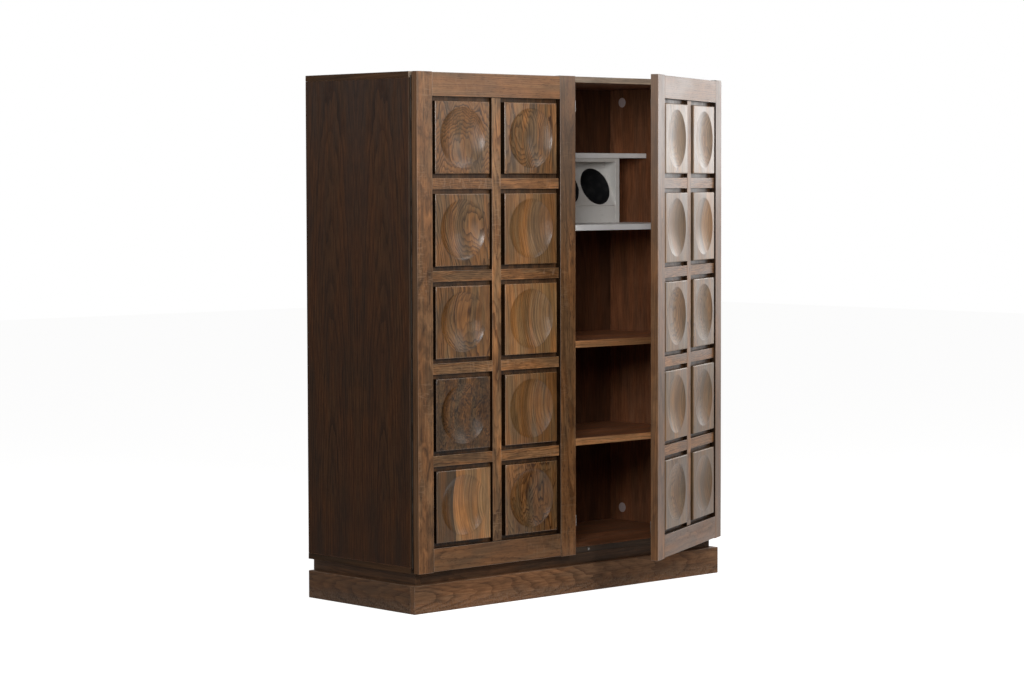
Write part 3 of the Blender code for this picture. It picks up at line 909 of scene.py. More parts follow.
def add_turned(bm: BMesh, profile: Sequence[tuple[float, float]], sides: int, turn: Matrix) -> None:
    """Adds a closed turned shape.

    Args:
        bm: the bmesh to add to.
        profile: radius and height of its points, the first and the last on the axis.
        sides: how many sides it has.
        turn: takes its own frame, with the axis along Z, to where it goes.
    """
    turns = [2 * pi * k / sides for k in range(sides)]
    rings = []
    for radius, height in profile:
        spots = [(radius * cos(t), radius * sin(t), height) for t in (turns if radius > 0 else turns[:1])]
        rings.append([bm.verts.new(turn @ Vector(spot)) for spot in spots])
    for lower, upper in zip(rings, rings[1:]):
        for k in range(sides):
            following = (k + 1) % sides
            quad = (lower[k % len(lower)], lower[following % len(lower)])
            quad += (upper[following % len(upper)], upper[k % len(upper)])
            bm.faces.new(list(dict.fromkeys(quad)))


def evaluated_mesh(piece: bpy.types.Object) -> Mesh:
    """The plain mesh that an object's modifiers give, after which the object is removed.

    Args:
        piece: the object with live modifiers.
    Returns:
        The result as a mesh of its own.
    """
    bpy.context.view_layer.update()
    made = bpy.data.meshes.new_from_object(piece.evaluated_get(bpy.context.evaluated_depsgraph_get()))
    piece.modifiers.clear()
    bpy.data.objects.remove(piece)
    return made


def arrised(mesh: Mesh, width: float) -> Mesh:
    """Rounds the arrises of a mesh, and marks them in its "edge" attribute.

    Args:
        mesh: a closed mesh with flat faces.
        width: the arris's width in metres.
    Returns:
        The rounded mesh.
    """
    mesh.materials.clear()
    for _ in range(2):
        mesh.materials.append(None)
    mesh.polygons.foreach_set("material_index", [0] * len(mesh.polygons))
    mesh.polygons.foreach_set("use_smooth", [False] * len(mesh.polygons))
    blank = placed(mesh.name, mesh)
    plane = blank.modifiers.new("arris", "BEVEL")
    plane.width = width
    plane.segments = 2
    plane.limit_method = "ANGLE"
    plane.angle_limit = radians(28)
    plane.material = 1
    made = evaluated_mesh(blank)
    rounded = read(made.polygons, "material_index", kind=np.int32)
    store(made, "edge", "FACE", rounded)
    made.polygons.foreach_set("use_smooth", rounded == 1)
    made.polygons.foreach_set("material_index", np.zeros_like(rounded))
    made.materials.clear()
    return made


def node_copy(node: str) -> Mesh:
    """A merged copy of a CAD node's mesh, with flat faces made whole again.

    Args:
        node: the node's name.
    Returns:
        The copy.
    """
    bm = bmesh.new()
    bm.from_mesh(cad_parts[node].data)
    bmesh.ops.remove_doubles(bm, verts=bm.verts, dist=2e-6)
    bmesh.ops.dissolve_limit(bm, angle_limit=radians(0.5), verts=bm.verts, edges=bm.edges)
    return new_mesh(f"{node}_blank", bm, outward=False)


def hand_over(
    name: str, mesh: Mesh, body: Body, nodes: Iterable[str], finish: Finish | None = None
) -> None:
    """Puts a finished mesh into the scene as a piece of the cabinet.

    Args:
        name: the piece's name, without the "finished" before it.
        mesh: its mesh, in the model's frame.
        body: the body that it moves with.
        nodes: the CAD nodes that it stands for.
        finish: its finish, where the mesh has no materials yet.
    """
    if finish is not None:
        mesh.materials.clear()
        mesh.materials.append(material_of(finish))
    mesh.name = f"finished_{name}"
    piece = placed(f"finished_{name}", mesh)
    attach(piece, body.label)
    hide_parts(*nodes)
    LOG.info("%s: %d faces on %s", piece.name, len(mesh.polygons), body.label)


def joined_mesh(meshes: Sequence[Mesh]) -> Mesh:
    """Joins meshes, with their attributes, into one.

    Args:
        meshes: the meshes to join.
    Returns:
        The joined mesh.
    """
    blanks = [placed(mesh.name, mesh) for mesh in meshes]
    first = blanks[0]
    with bpy.context.temp_override(active_object=first, object=first, selected_editable_objects=blanks):
        bpy.ops.object.join()
    made = first.data
    bpy.data.objects.remove(first)
    return made


class ShapeTree(NodeGraph):
    """A Geometry Nodes tree that makes a plain mesh with one material."""

    def __init__(self, name: str, kinds: dict[str, str]) -> None:
        """Starts the tree with its inputs, the material last.

        Args:
            name: the tree's name.
            kinds: the kind of each input, by the input's name.
        """
        super().__init__(bpy.data.node_groups.new(name, "GeometryNodeTree"))
        kinds = {**kinds, "Material": "Material"}
        self.keys = {label: self._socket(label, "INPUT", kind) for label, kind in kinds.items()}
        self._socket("Shape", "OUTPUT", "Geometry")
        self.given = self.node("NodeGroupInput").outputs

    def _socket(self, label: str, way: str, kind: str) -> str:
        """Adds an input or output to the tree, and gives its identifier."""
        return self.tree.interface.new_socket(label, in_out=way, socket_type=f"NodeSocket{kind}").identifier

    def along(self, label: str, axis: int) -> Socket:
        """A vector along one axis, as long as a named input."""
        return self.out("ShaderNodeCombineXYZ", {axis: self.given[label]})

    def line(self, count: str, pitch: str, axis: int, **more: Feed) -> Socket:
        """A line of points.

        Args:
            count: the input that says how many.
            pitch: the input that says how far apart.
            axis: the axis that it runs along, 0 to 2.
            more: the line's other inputs, with _ for a blank in their names.
        Returns:
            The line.
        """
        inputs = {name.replace("_", " "): value for name, value in more.items()}
        inputs.update({"Count": self.given[count], "Offset": self.along(pitch, axis)})
        return self.out("GeometryNodeMeshLine", inputs)

    def on_points(self, points: Socket, piece: Socket) -> Socket:
        """A copy of a piece on each point."""
        return self.out("GeometryNodeInstanceOnPoints", {"Points": points, "Instance": piece})

    def real(self, shape: Socket) -> Socket:
        """Copies made real."""
        return self.out("GeometryNodeRealizeInstances", (shape,))

    def end(self, shape: Socket) -> None:
        """Ends the tree with its shape made real and given the material."""
        inputs = {"Geometry": self.real(shape), "Material": self.given["Material"]}
        self.node("NodeGroupOutput", (self.out("GeometryNodeSetMaterial", inputs),))

    def run(self, mesh: Mesh, finish: Finish, values: dict[str, float]) -> Mesh:
        """Runs the tree on a mesh.

        Args:
            mesh: the mesh to start from.
            finish: the result's finish.
            values: the tree's other inputs.
        Returns:
            The result.
        """
        blank = placed(mesh.name, mesh)
        modifier = blank.modifiers.new("shape", "NODES")
        modifier.node_group = self.tree
        for label, value in {**values, "Material": material_of(finish)}.items():
            modifier[self.keys[label]] = value
        return evaluated_mesh(blank)


class RepeatTree(ShapeTree):
    """Sets copies of a piece out in columns along X and rows along Z."""

    def __init__(self) -> None:
        """Writes the tree: a line of lines of points, with a numbered copy on each."""
        counts, pitches = ("Columns", "Rows"), ("Column pitch", "Row pitch")
        kinds = {"Piece": "Geometry", **dict.fromkeys(counts, "Int"), **dict.fromkeys(pitches, "Float")}
        super().__init__("set_out_in_rows", kinds)
        columns, rows = self.line("Columns", "Column pitch", 0), self.line("Rows", "Row pitch", 2)
        copies = self.on_points(self.real(self.on_points(columns, rows)), self.given["Piece"])
        number = {"Geometry": copies, "Name": "copy_number", "Value": self.out("GeometryNodeInputIndex")}
        self.end(self.out("GeometryNodeStoreNamedAttribute", number, data_type="INT", domain="INSTANCE"))

    def repeat(self, mesh: Mesh, finish: Finish, columns: Row = (1, 0.0), rows: Row = (1, 0.0)) -> Mesh:
        """Sets a piece out, the first copy where the piece is.

        Args:
            mesh: the piece.
            finish: its finish.
            columns: how many along X, and their pitch.
            rows: how many along Z, and their pitch.
        Returns:
            All the copies in one mesh.
        """
        values = {"Columns": columns[0], "Column pitch": columns[1], "Rows": rows[0], "Row pitch": rows[1]}
        return self.run(mesh, finish, values)


REPEAT = RepeatTree()


class PerforatedTree(ShapeTree):
    """Makes a panel with a row of round holes: X along it, Y up its slope, and Z out of its face."""

    def __init__(self) -> None:
        """Writes the tree: an oblong and a row of circles, filled and given a thickness."""
        lengths = ("Width", "Slope", "Shift", "Hole radius", "Pitch", "Start", "Thickness")
        kinds = {**dict.fromkeys(lengths, "Float"), "Holes": "Int", "Sides": "Int"}
        super().__init__("perforated_panel", kinds)
        given = self.given
        sizes = {"Width": given["Width"], "Height": given["Slope"]}
        oblong = self.out("GeometryNodeCurvePrimitiveQuadrilateral", sizes)
        oblong = self.moved(oblong, self.along("Shift", 1))
        line = self.line("Holes", "Pitch", 0, Start_Location=self.along("Start", 0))
        sizes = {"Resolution": given["Sides"], "Radius": given["Hole radius"]}
        holes = self.on_points(line, self.out("GeometryNodeCurvePrimitiveCircle", sizes))
        outlines = self.real(self.joined(holes, oblong))
        sheet = self.out("GeometryNodeFillCurve", {"Curve": outlines})
        rise = {"Mesh": sheet, "Offset Scale": given["Thickness"], "Individual": False}
        raised = self.out("GeometryNodeExtrudeMesh", rise)
        both = self.joined(raised, self.out("GeometryNodeFlipFaces", {"Mesh": sheet}))
        sunk = self.out("ShaderNodeMath", (given["Thickness"], -1.0), operation="MULTIPLY")
        lowered = self.moved(both, self.out("ShaderNodeCombineXYZ", {2: sunk}))
        self.end(self.out("GeometryNodeMergeByDistance", {"Geometry": lowered, "Distance": 1e-6}))

    def moved(self, shape: Socket, way: Socket) -> Socket:
        """A shape moved by a vector."""
        return self.out("GeometryNodeTransform", {"Geometry": shape, "Translation": way})

    def joined(self, *shapes: Socket) -> Socket:
        """Some shapes as one."""
        join = self.node("GeometryNodeJoinGeometry")
        for shape in shapes:
            self.feed(join.inputs[0], shape)
        return join.outputs[0]


@dataclass(frozen=True)
class Dress:
    """How a board or one side of it is finished: its wood, the way of the grain, and how light it is."""

    finish: WoodFinish
    along: Axis
    tone: float = 1.0


@dataclass
class Board:
    """One wooden board, dressed from its CAD node, with its heart and lean where they are chosen."""

    node: str
    dress: Dress
    slot: str
    arris: float
    body: Body = Body.CARCASS
    heart: tuple[float, float] | None = None
    lean: float | None = None
    sides: dict[Facing, Dress] = field(default_factory=dict)

    def build(self) -> None:
        """Makes the board's piece: dressed all over, and then on those of its sides that differ."""
        mesh = arrised(node_copy(self.node), self.arris)
        dresser = BoardDresser(mesh, self.body)
        dresser.lay(dresser.everywhere, self.dress, self.node, self.heart, self.lean)
        for way, dress in self.sides.items():
            dresser.lay(dresser.facing(way), dress, self.node + way.name)
        dresser.write()
        hand_over(self.node, mesh, self.body, [self.node])


class BoardDresser:
    """Writes the grain, tone and materials of a mesh, face by face."""

    def __init__(self, mesh: Mesh, body: Body) -> None:
        """Reads the mesh in its body's own frame.

        Args:
            mesh: the mesh, in the model's frame.
            body: the body that it belongs to.
        """
        self.mesh = mesh
        self.points = body.own(read(mesh.vertices, "co", 3))
        self.normals = read(mesh.polygons, "normal", 3) @ np.array(body.place.inverted())[:3, :3].T
        totals = read(mesh.polygons, "loop_total", kind=np.int32)
        self.corner_face = np.repeat(np.arange(len(totals)), totals)
        self.corner_point = read(mesh.loops, "vertex_index", kind=np.int32)
        self.everywhere = np.ones(len(totals), bool)
        self.grain = np.zeros((len(mesh.loops), 3))
        self.tone = np.ones(len(totals))
        self.material = np.zeros(len(totals), np.int32)
        self.finishes: list[WoodFinish] = []

    def middles(self) -> np.ndarray:
        """The middle of each face, as the mean of its corners."""
        total = np.zeros((len(self.tone), 3))
        np.add.at(total, self.corner_face, self.points[self.corner_point])
        return total / np.bincount(self.corner_face)[:, None]

    def lay(
        self,
        faces: np.ndarray,
        dress: Dress,
        seed: str,
        heart: tuple[float, float] | None = None,
        lean: float | None = None,
    ) -> None:
        """Lays some faces into a log of their own.

        Args:
            faces: which faces, as a mask.
            dress: how they are finished.
            seed: a name that picks the log.
            heart: where the log's heart lies from the board's middle, across and deep.
            lean: how the heart nears or leaves the board along it.
        """
        picked = faces[self.corner_face]
        spots = self.points[self.corner_point[picked]]
        low, high = self.points.min(0), self.points.max(0)
        along = dress.along.value
        deep, across = sorted({0, 1, 2} - {along}, key=lambda axis: high[axis] - low[axis])
        chance = np.random.default_rng(crc32(seed.encode()))
        if heart is None:
            heart = (chance.uniform(-0.3, 0.3) * (high - low)[across], chance.uniform(0.05, 0.12))
        if lean is None:
            lean = chance.uniform(-0.035, 0.035)
        middle = (low + high) / 2
        run = spots[:, along] - middle[along]
        if dress.finish.leaf:
            columns = [spots[:, across] - low[across], spots[:, deep] - middle[deep], run]
        else:
            columns = [
                spots[:, across] - middle[across] - heart[0],
                spots[:, deep] - middle[deep] - heart[1] + lean * run,
                run + chance.uniform(0, 9),
            ]
        self.grain[picked] = np.stack(columns, axis=1)
        self.tone[faces] = dress.tone
        if dress.finish not in self.finishes:
            self.finishes.append(dress.finish)
        self.material[faces] = self.finishes.index(dress.finish)

    def facing(self, way: Facing) -> np.ndarray:
        """A mask of the faces that look one way."""
        axis, sign = way.value
        return (np.abs(self.normals).argmax(1) == axis) & (np.sign(self.normals[:, axis]) == sign)

    def write(self) -> None:
        """Stores what was laid out on the mesh."""
        store(self.mesh, "grain", "CORNER", self.grain)
        store(self.mesh, "tone", "FACE", self.tone)
        self.mesh.materials.clear()
        for finish in self.finishes:
            self.mesh.materials.append(material_of(finish))
        self.mesh.polygons.foreach_set("material_index", self.material)


@dataclass
class Case:
    """The carcass: two sides, top, bottom, back and the two shelves."""

    arris: float = 0.0009
    shelf_arris: float = 0.0012

    def build(self) -> None:
        """Makes every panel of the case."""
        outside, inside = Dress(CASE_VENEER, Axis.Z), Dress(INSIDE_VENEER, Axis.Z)
        edge = Dress(CASE_EDGE, Axis.Z, tone=0.27)
        for side, way in (("left", Facing.RIGHT), ("right", Facing.LEFT)):
            sides = {way: inside, Facing.FRONT: edge, Facing.BACK: edge}
            Board(f"{side}_side_panel", outside, "oak_veneer", self.arris, sides=sides).build()
        end = Dress(DOOR_SIDE_OAK, Axis.Y, tone=0.3)
        inner = Dress(INSIDE_VENEER, Axis.X)
        # The bottom panel's top lining is lighter than the other linings: painted light
        for node, front, way, lining in (
            ("top_panel", Dress(LID_EDGE, Axis.X), Facing.UNDER, inner),
            ("bottom_panel", Dress(CASE_EDGE, Axis.X, tone=0.22), Facing.TOP, replace(inner, tone=1.15)),
        ):
            sides = {Facing.FRONT: front, Facing.LEFT: end, Facing.RIGHT: end, way: lining}
            Board(node, Dress(CASE_VENEER, Axis.X), "oak_veneer", self.arris, sides=sides).build()
        # The back panel's front is darker: painted shade for the back wall, which lies in the left door's
        # shadow
        sides = {Facing.BACK: Dress(BACK_BOARD, Axis.Z), Facing.FRONT: replace(inside, tone=0.42)}
        Board("back_panel", inside, "inside_veneer", self.arris, sides=sides).build()
        # Painted light: the shelves' tops are lighter than their undersides, and the lower shelf lighter than
        # the upper, where less light reaches
        sides = {Facing.TOP: replace(inner, tone=1.5), Facing.UNDER: inner}
        for node, tone in (("lower_shelf", 2.1), ("upper_shelf", 1.08)):
            dress = Dress(SHELF_VENEER, Axis.X, tone)
            Board(node, dress, "shelf_veneer", self.shelf_arris, sides=sides).build()


@dataclass
class Base:
    """The plinth boards and the inner frame that shows above them as a neck."""

    plinth_arris: float = 0.0016
    rail_arris: float = 0.0006
    front_tone: float = 1.06
    # The plinth's sides and the sunk neck are darker than its front: painted shade
    side_tone: float = 0.62
    neck_tone: float = 0.4
    heart: tuple[float, float] = (0.0, 0.09)
    lean: float = -0.07

    def build(self) -> None:
        """Makes the base's boards."""
        for node in sorted(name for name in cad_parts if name.startswith("plinth_")):
            way = (Axis.X, self.front_tone) if "front" in node else (Axis.Y, self.side_tone)
            dress = Dress(PLINTH_OAK, *way)
            Board(node, dress, "plinth_oak", self.plinth_arris, heart=self.heart, lean=self.lean).build()
        for node in sorted(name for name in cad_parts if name.startswith("base_")):
            low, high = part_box(node)
            along = Axis.X if high.x - low.x > high.y - low.y else Axis.Y
            Board(node, Dress(PLINTH_OAK, along, self.neck_tone), "plinth_oak", self.rail_arris).build()


class Figure(Enum):
    """How a block was cut.

    The values are the heart's place across and deep, the lean along the block, its swirl, and how far the
    dish cuts through the rings.
    """

    STRAIGHT = (0.48, 1.2, 0.01, -0.3, 0.22)
    ROUND = (0.0, 0.5, 0.02, 0.3, 1.0)
    CROWN = (0.01, 0.6, -0.14, 1.2, 0.8)
    LEFT_LOOPS = (-0.11, 0.6, 0.03, 0.8, 0.8)
    RIGHT_LOOPS = (0.13, 0.6, 0.04, 0.5, 0.6)
    CURLS = (0.03, 0.5, 0.06, 1.9, 0.7)
    BURR = (0.0, 0.5, 0.06, 4.5, 1.0)


@dataclass(frozen=True)
class CarvedBlock:
    """The timber of one carved block, which may be glued from two strips that meet on an upright line."""

    tone: float
    figure: Figure
    second: float = 0.0
    line: float = 1.0


LEFT_BLOCKS = (
    (CarvedBlock(0.42, Figure.STRAIGHT, 0.94, -0.028), CarvedBlock(0.74, Figure.CURLS, -0.08, -0.024)),
    (CarvedBlock(0.36, Figure.BURR), CarvedBlock(0.79, Figure.STRAIGHT, -0.2, 0.024)),
    (CarvedBlock(0.65, Figure.RIGHT_LOOPS, 0.06, -0.01), CarvedBlock(1.08, Figure.STRAIGHT)),
    (CarvedBlock(0.69, Figure.RIGHT_LOOPS), CarvedBlock(0.81, Figure.STRAIGHT, -0.1, 0.026)),
    (CarvedBlock(0.62, Figure.CROWN), CarvedBlock(0.84, Figure.LEFT_LOOPS)),
)
RIGHT_BLOCKS = (
    (CarvedBlock(0.66, Figure.ROUND), CarvedBlock(0.62, Figure.STRAIGHT)),
    (CarvedBlock(0.66, Figure.STRAIGHT, 0.2, -0.02), CarvedBlock(0.7, Figure.LEFT_LOOPS)),
    (CarvedBlock(0.72, Figure.ROUND), CarvedBlock(0.76, Figure.CURLS)),
    (CarvedBlock(0.76, Figure.STRAIGHT), CarvedBlock(0.84, Figure.STRAIGHT, 0.5, 0.02)),
    (CarvedBlock(1.2, Figure.ROUND), CarvedBlock(1.2, Figure.RIGHT_LOOPS)),
)

# The rings of a carved block: shares of the dish's radius, then how far out, deep and darkened by painted shade
# round its rim, and then how far in from the block's sides, deep, worn with a painted highlight, and darkened
# by painted shade
DISH_SHARES = (*(k / 16 for k in range(1, 14)), 0.84, 0.87, 0.9, 0.925, 0.95, 0.97, 0.985)
RIM_RINGS = ((0.0003, 0.00006, 0.18), (0.0011, 0.0, 0.12), (0.0036, 0.0, 0.0))
EDGE_RINGS = (
    (0.0036, 0.0, 0.0, 0.0),
    (0.0026, 0.0, 0.0, 0.0),
    (0.0020, 0.0001, 0.4, 0.0),
    (0.0003, 0.0017, 0.8, 0.1),
)


@dataclass
class CarvedDoor:
    """One door: stiles and rails, a lattice sunk between them, and dished blocks on a thin backing."""

    body: Body
    inward: int
    blocks: tuple[tuple[CarvedBlock, CarvedBlock], ...]
    front: float = -0.023
    back: float = -0.002
    clear_start: float = 0.0531
    clear_end: float = 0.5085
    clear_bottom: float = 0.168
    clear_top: float = 1.337
    muntin: float = 0.031
    mid_rail: float = 0.0285
    sunk: float = 0.0055
    step: float = 0.0005
    backing: float = 0.004
    lap: float = 0.0077
    fit: float = 0.0003
    groove: float = 0.0115
    block_sunk: float = 0.001
    dish_margin: float = 0.0155
    dish_depth: float = 0.0134
    dish_power: float = 1.8
    lip_depth: float = 0.0012
    lip_power: float = 9.0
    brink: float = 0.0004
    # Painted shade on the blocks' side walls, less on the door that stands open
    wall_stain: float = 0.9
    # The groove walls of the frame and lattice are darkened as painted shade
    groove_tone: float = 0.12
    hinge_side_tone: float = 0.66
    backing_tone: float = 0.32
    arris: float = 0.0011
    lattice_arris: float = 0.0008
    timber: DoorTimber = DoorTimber()
    sides: int = 64

    def build(self) -> None:
        """Makes every piece of the door."""
        name = self.body.label
        # Member, grain, tone, and the log's heart and lean
        frame_boards = (
            ("outer_stile", Axis.Z, 0.9, (0.105, 0.02), 0.012),
            ("meeting_stile", Axis.Z, 0.84, (0.01, 0.075), 0.02),
            ("top_rail", Axis.X, 1.18, (0.08, 0.03), 0.02),
            ("bottom_rail", Axis.X, 0.84, None, None),
        )
        inner, outer = (Facing.RIGHT, Facing.LEFT)[:: self.inward]
        ways = {"outer_stile": inner, "meeting_stile": outer}
        ways.update({"top_rail": Facing.UNDER, "bottom_rail": Facing.TOP})
        oaks = {"outer_stile": self.timber.stile, "meeting_stile": self.timber.meeting}
        for part, along, tone, heart, lean in frame_boards:
            dress = Dress(oaks.get(part, self.timber.rail), along, tone)
            # The side that faces the panel is darkened as painted shade
            sides = {ways[part]: Dress(DOOR_OAK, along, self.groove_tone)}
            if part == "outer_stile":
                sides[outer] = Dress(DOOR_SIDE_OAK, along, self.hinge_side_tone)
            Board(f"{name}_{part}", dress, "oak", self.arris, self.body, heart, lean, sides).build()
        self._build_lattice()
        self._build_carved_panel()

    def _pitches(self) -> tuple[float, float]:
        """The distances from one block to the next, across and up."""
        across = (self.clear_end - self.clear_start + self.muntin) / 2
        return across, (self.clear_top - self.clear_bottom + self.mid_rail) / 5

    def _build_lattice(self) -> None:
        """Makes the muntin and the mid rails, each with grain of its own."""
        name = f"{self.body.label}_lattice"
        across, up = self._pitches()
        face, bed = self.front + self.sunk, self.back - self.backing - self.fit
        muntin_start = self.clear_start + across - self.muntin
        muntin_end = muntin_start + self.muntin
        bm = bmesh.new()
        low, high = self.clear_bottom + self.fit, self.clear_top - self.fit
        add_box(bm, (muntin_start, face, low), (muntin_end, bed, high))
        halves = ((self.clear_start + self.fit, muntin_start), (muntin_end, self.clear_end - self.fit))
        for row in range(1, 5):
            top = self.clear_bottom + row * up
            for start, end in halves:
                add_box(bm, (start, face + self.step, top - self.mid_rail), (end, bed - self.step, top))
        self._put(bm)
        mesh = arrised(new_mesh(f"{name}_blank", bm), self.lattice_arris)
        dresser = BoardDresser(mesh, self.body)
        middles = dresser.middles()
        reach = self.inward * middles[:, 0]
        upright = (reach > muntin_start - 1e-5) & (reach < muntin_end + 1e-5)
        oak = self.timber.lattice
        dress = Dress(oak, Axis.Z, tone=1.05)
        dresser.lay(upright, dress, f"{name}_muntin", heart=(0.012, 0.04), lean=0.06)
        for row in range(1, 5):
            level = np.abs(middles[:, 2] - (self.clear_bottom + row * up - self.mid_rail / 2)) < self.mid_rail
            for half, side in enumerate((reach < muntin_start, reach > muntin_end)):
                dress = Dress(oak, Axis.X, tone=0.86 + 0.07 * (row % 3) + 0.05 * half)
                seed = f"{name}_{row}_{half}"
                dresser.lay(level & side & ~upright, dress, seed, heart=(0.006, 0.03), lean=0.1)
        # The lattice's side walls are darkened as painted shade
        dresser.tone[np.abs(dresser.normals[:, 1]) < 0.3] = self.groove_tone
        dresser.write()
        hand_over(name, mesh, self.body, [name])

    def _put(self, bm: BMesh) -> None:
        """Takes a bmesh from distances along the door to the model's frame."""
        flip = Matrix.Diagonal((self.inward, 1, 1, 1))
        bmesh.ops.transform(bm, matrix=self.body.place @ flip, verts=bm.verts)

    def _block(self, width: float, height: float, depth: float) -> Mesh:
        """One block with its dish, its face in the plane Y = 0 and its middle on the Y axis.

        Args:
            width: its width.
            height: its height.
            depth: how thick it is.
        Returns:
            The block's mesh, with its worn arrises, which also carry a painted highlight, marked in "edge", and
            its painted shade in "darkening".
        """
        radius = min(width, height) / 2 - self.dish_margin
        turns = [2 * pi * k / self.sides for k in range(self.sides)]
        rings = []
        bm = bmesh.new()
        edge = bm.verts.layers.float.new("edge")
        # Painted shade on the side walls and round the dish's rim
        dark = bm.verts.layers.float.new("stain")

        def ring(spots: Iterable[tuple[float, float]], sunk: float, rubbed_and_highlit: float, stain: float) -> None:
            """Adds a ring of points, all as deep, as worn and highlit, and as darkened by painted shade."""
            rings.append([bm.verts.new((x, sunk, z)) for x, z in spots])
            for vert in rings[-1]:
                vert[edge] = rubbed_and_highlit
                vert[dark] = stain

        def circle(reach: float) -> list[tuple[float, float]]:
            """The points of a ring round the dish."""
            return [(reach * cos(t), reach * sin(t)) for t in turns]

        def square(inset: float) -> list[tuple[float, float]]:
            """The points of a ring round the block, one of them at each corner."""
            half_width, half_height = width / 2 - inset, height / 2 - inset
            spots = []
            for k, t in enumerate(turns):
                scale = min(half_width / max(abs(cos(t)), 1e-9), half_height / max(abs(sin(t)), 1e-9))
                spots.append((scale * cos(t), scale * sin(t)))
                if k % (self.sides // 4) == self.sides // 8:
                    spots[-1] = (half_width * np.sign(cos(t)), half_height * np.sign(sin(t)))
            return spots

        def sunk_at(share: float) -> float:
            """The dish's depth at a share of its radius: a bowl that steepens just inside its rim."""
            lip = self.lip_depth * (1 - share**self.lip_power)
            return self.dish_depth * (1 - share**self.dish_power) + lip

        for share in DISH_SHARES:
            ring(circle(radius * share), sunk_at(share), 0.0, 0.14 * share**8)
        ring(circle(radius - self.brink), sunk_at(1 - self.brink / radius) + 0.00005, 0.0, 0.16)
        for out, sunk, stain in RIM_RINGS:
            ring(circle(radius + out), sunk, 0.0, stain)
        for inset, sunk, rubbed_and_highlit, stain in EDGE_RINGS:
            ring(square(inset), sunk, rubbed_and_highlit, stain)
        ring(square(0.0), 0.0022, 0.4, 0.55 * self.wall_stain)
        for sunk in (0.0028, depth):
            ring(square(0.0), sunk, 0.0, self.wall_stain)
        middle = bm.verts.new((0, sunk_at(0.0), 0))
        for k in range(self.sides):
            following = (k + 1) % self.sides
            bm.faces.new((middle, rings[0][k], rings[0][following]))
            for inner, outer in zip(rings, rings[1:]):
                bm.faces.new((inner[k], outer[k], outer[following], inner[following]))
        bm.faces.new(rings[-1])
        return new_mesh("dished_block", bm, smooth=True)

    def _build_carved_panel(self) -> None:
        """Makes the backing and the blocks on it."""
        name = f"{self.body.label}_tile_panel"
        across, up = self._pitches()
        width = across - self.muntin - 2 * self.groove
        height = up - self.mid_rail - 2 * self.groove
        face, bed = self.front + self.block_sunk, self.back - self.backing
        block = self._block(width, height, bed - face + 0.0005)
        mesh = REPEAT.repeat(block, self.timber.block, (2, across), (5, up))
        self._grain_blocks(mesh, across, up)
        first_x = self.clear_start + self.groove + width / 2
        first_z = self.clear_bottom + self.groove + height / 2
        if self.inward < 0:
            first_x = -first_x - across
        mesh.transform(self.body.place @ Matrix.Translation((first_x, face, first_z)))
        bm = bmesh.new()
        start, end = self.clear_start - self.lap, self.clear_end + self.lap
        add_box(bm, (start, bed, self.clear_bottom - self.lap), (end, self.back, self.clear_top + self.lap))
        self._put(bm)
        backing = arrised(new_mesh(f"{name}_sheet", bm), self.fit)
        dresser = BoardDresser(backing, self.body)
        dresser.lay(dresser.everywhere, Dress(INSIDE_VENEER, Axis.Z), name)
        front = Dress(DOOR_OAK, Axis.Z, self.backing_tone)
        dresser.lay(dresser.facing(Facing.FRONT), front, f"{name}_front")
        dresser.write()
        hand_over(name, mesh, self.body, [name])
        hand_over(f"{name}_backing", backing, self.body, [name])

    def _grain_blocks(self, mesh: Mesh, across: float, up: float) -> None:
        """Cuts each block from a log of its own.

        Args:
            mesh: all the blocks, numbered up each column, the first with its middle at the origin.
            across: the distance between the columns.
            up: the distance between the rows.
        """
        spots = read(mesh.vertices, "co", 3)
        number = read(mesh.attributes["copy_number"].data, "value", kind=np.int32)
        mesh.attributes.remove(mesh.attributes["copy_number"])
        grain = np.zeros((len(spots), 3))
        tone, strip, second, wild = (np.zeros(len(spots)) for _ in range(4))
        chance = np.random.default_rng(crc32(self.body.label.encode()))
        for k in range(10):
            column, row = divmod(k, 5)
            mask = number == k
            local = spots[mask] - (column * across, 0, row * up)
            timber = self.blocks[row][column]
            heart_across, heart_deep, lean, swirl, cut = timber.figure.value
            twist = chance.uniform(-0.08, 0.08)
            heart_across += chance.uniform(-0.012, 0.012)
            heart_deep += chance.uniform(-0.008, 0.008)
            grain[mask] = np.stack(
                [
                    local[:, 0] - heart_across + twist * local[:, 2],
                    cut * local[:, 1] - heart_deep + lean * local[:, 2],
                    local[:, 2] + chance.uniform(0, 9),
                ],
                axis=1,
            )
            tone[mask] = timber.tone
            second[mask] = timber.second
            strip[mask] = local[:, 0] - timber.line
            wild[mask] = swirl
        values = {"grain": grain, "tone": tone, "strip": strip, "second": second, "wild": wild}
        for label, rows in values.items():
            store(mesh, label, "POINT", rows)


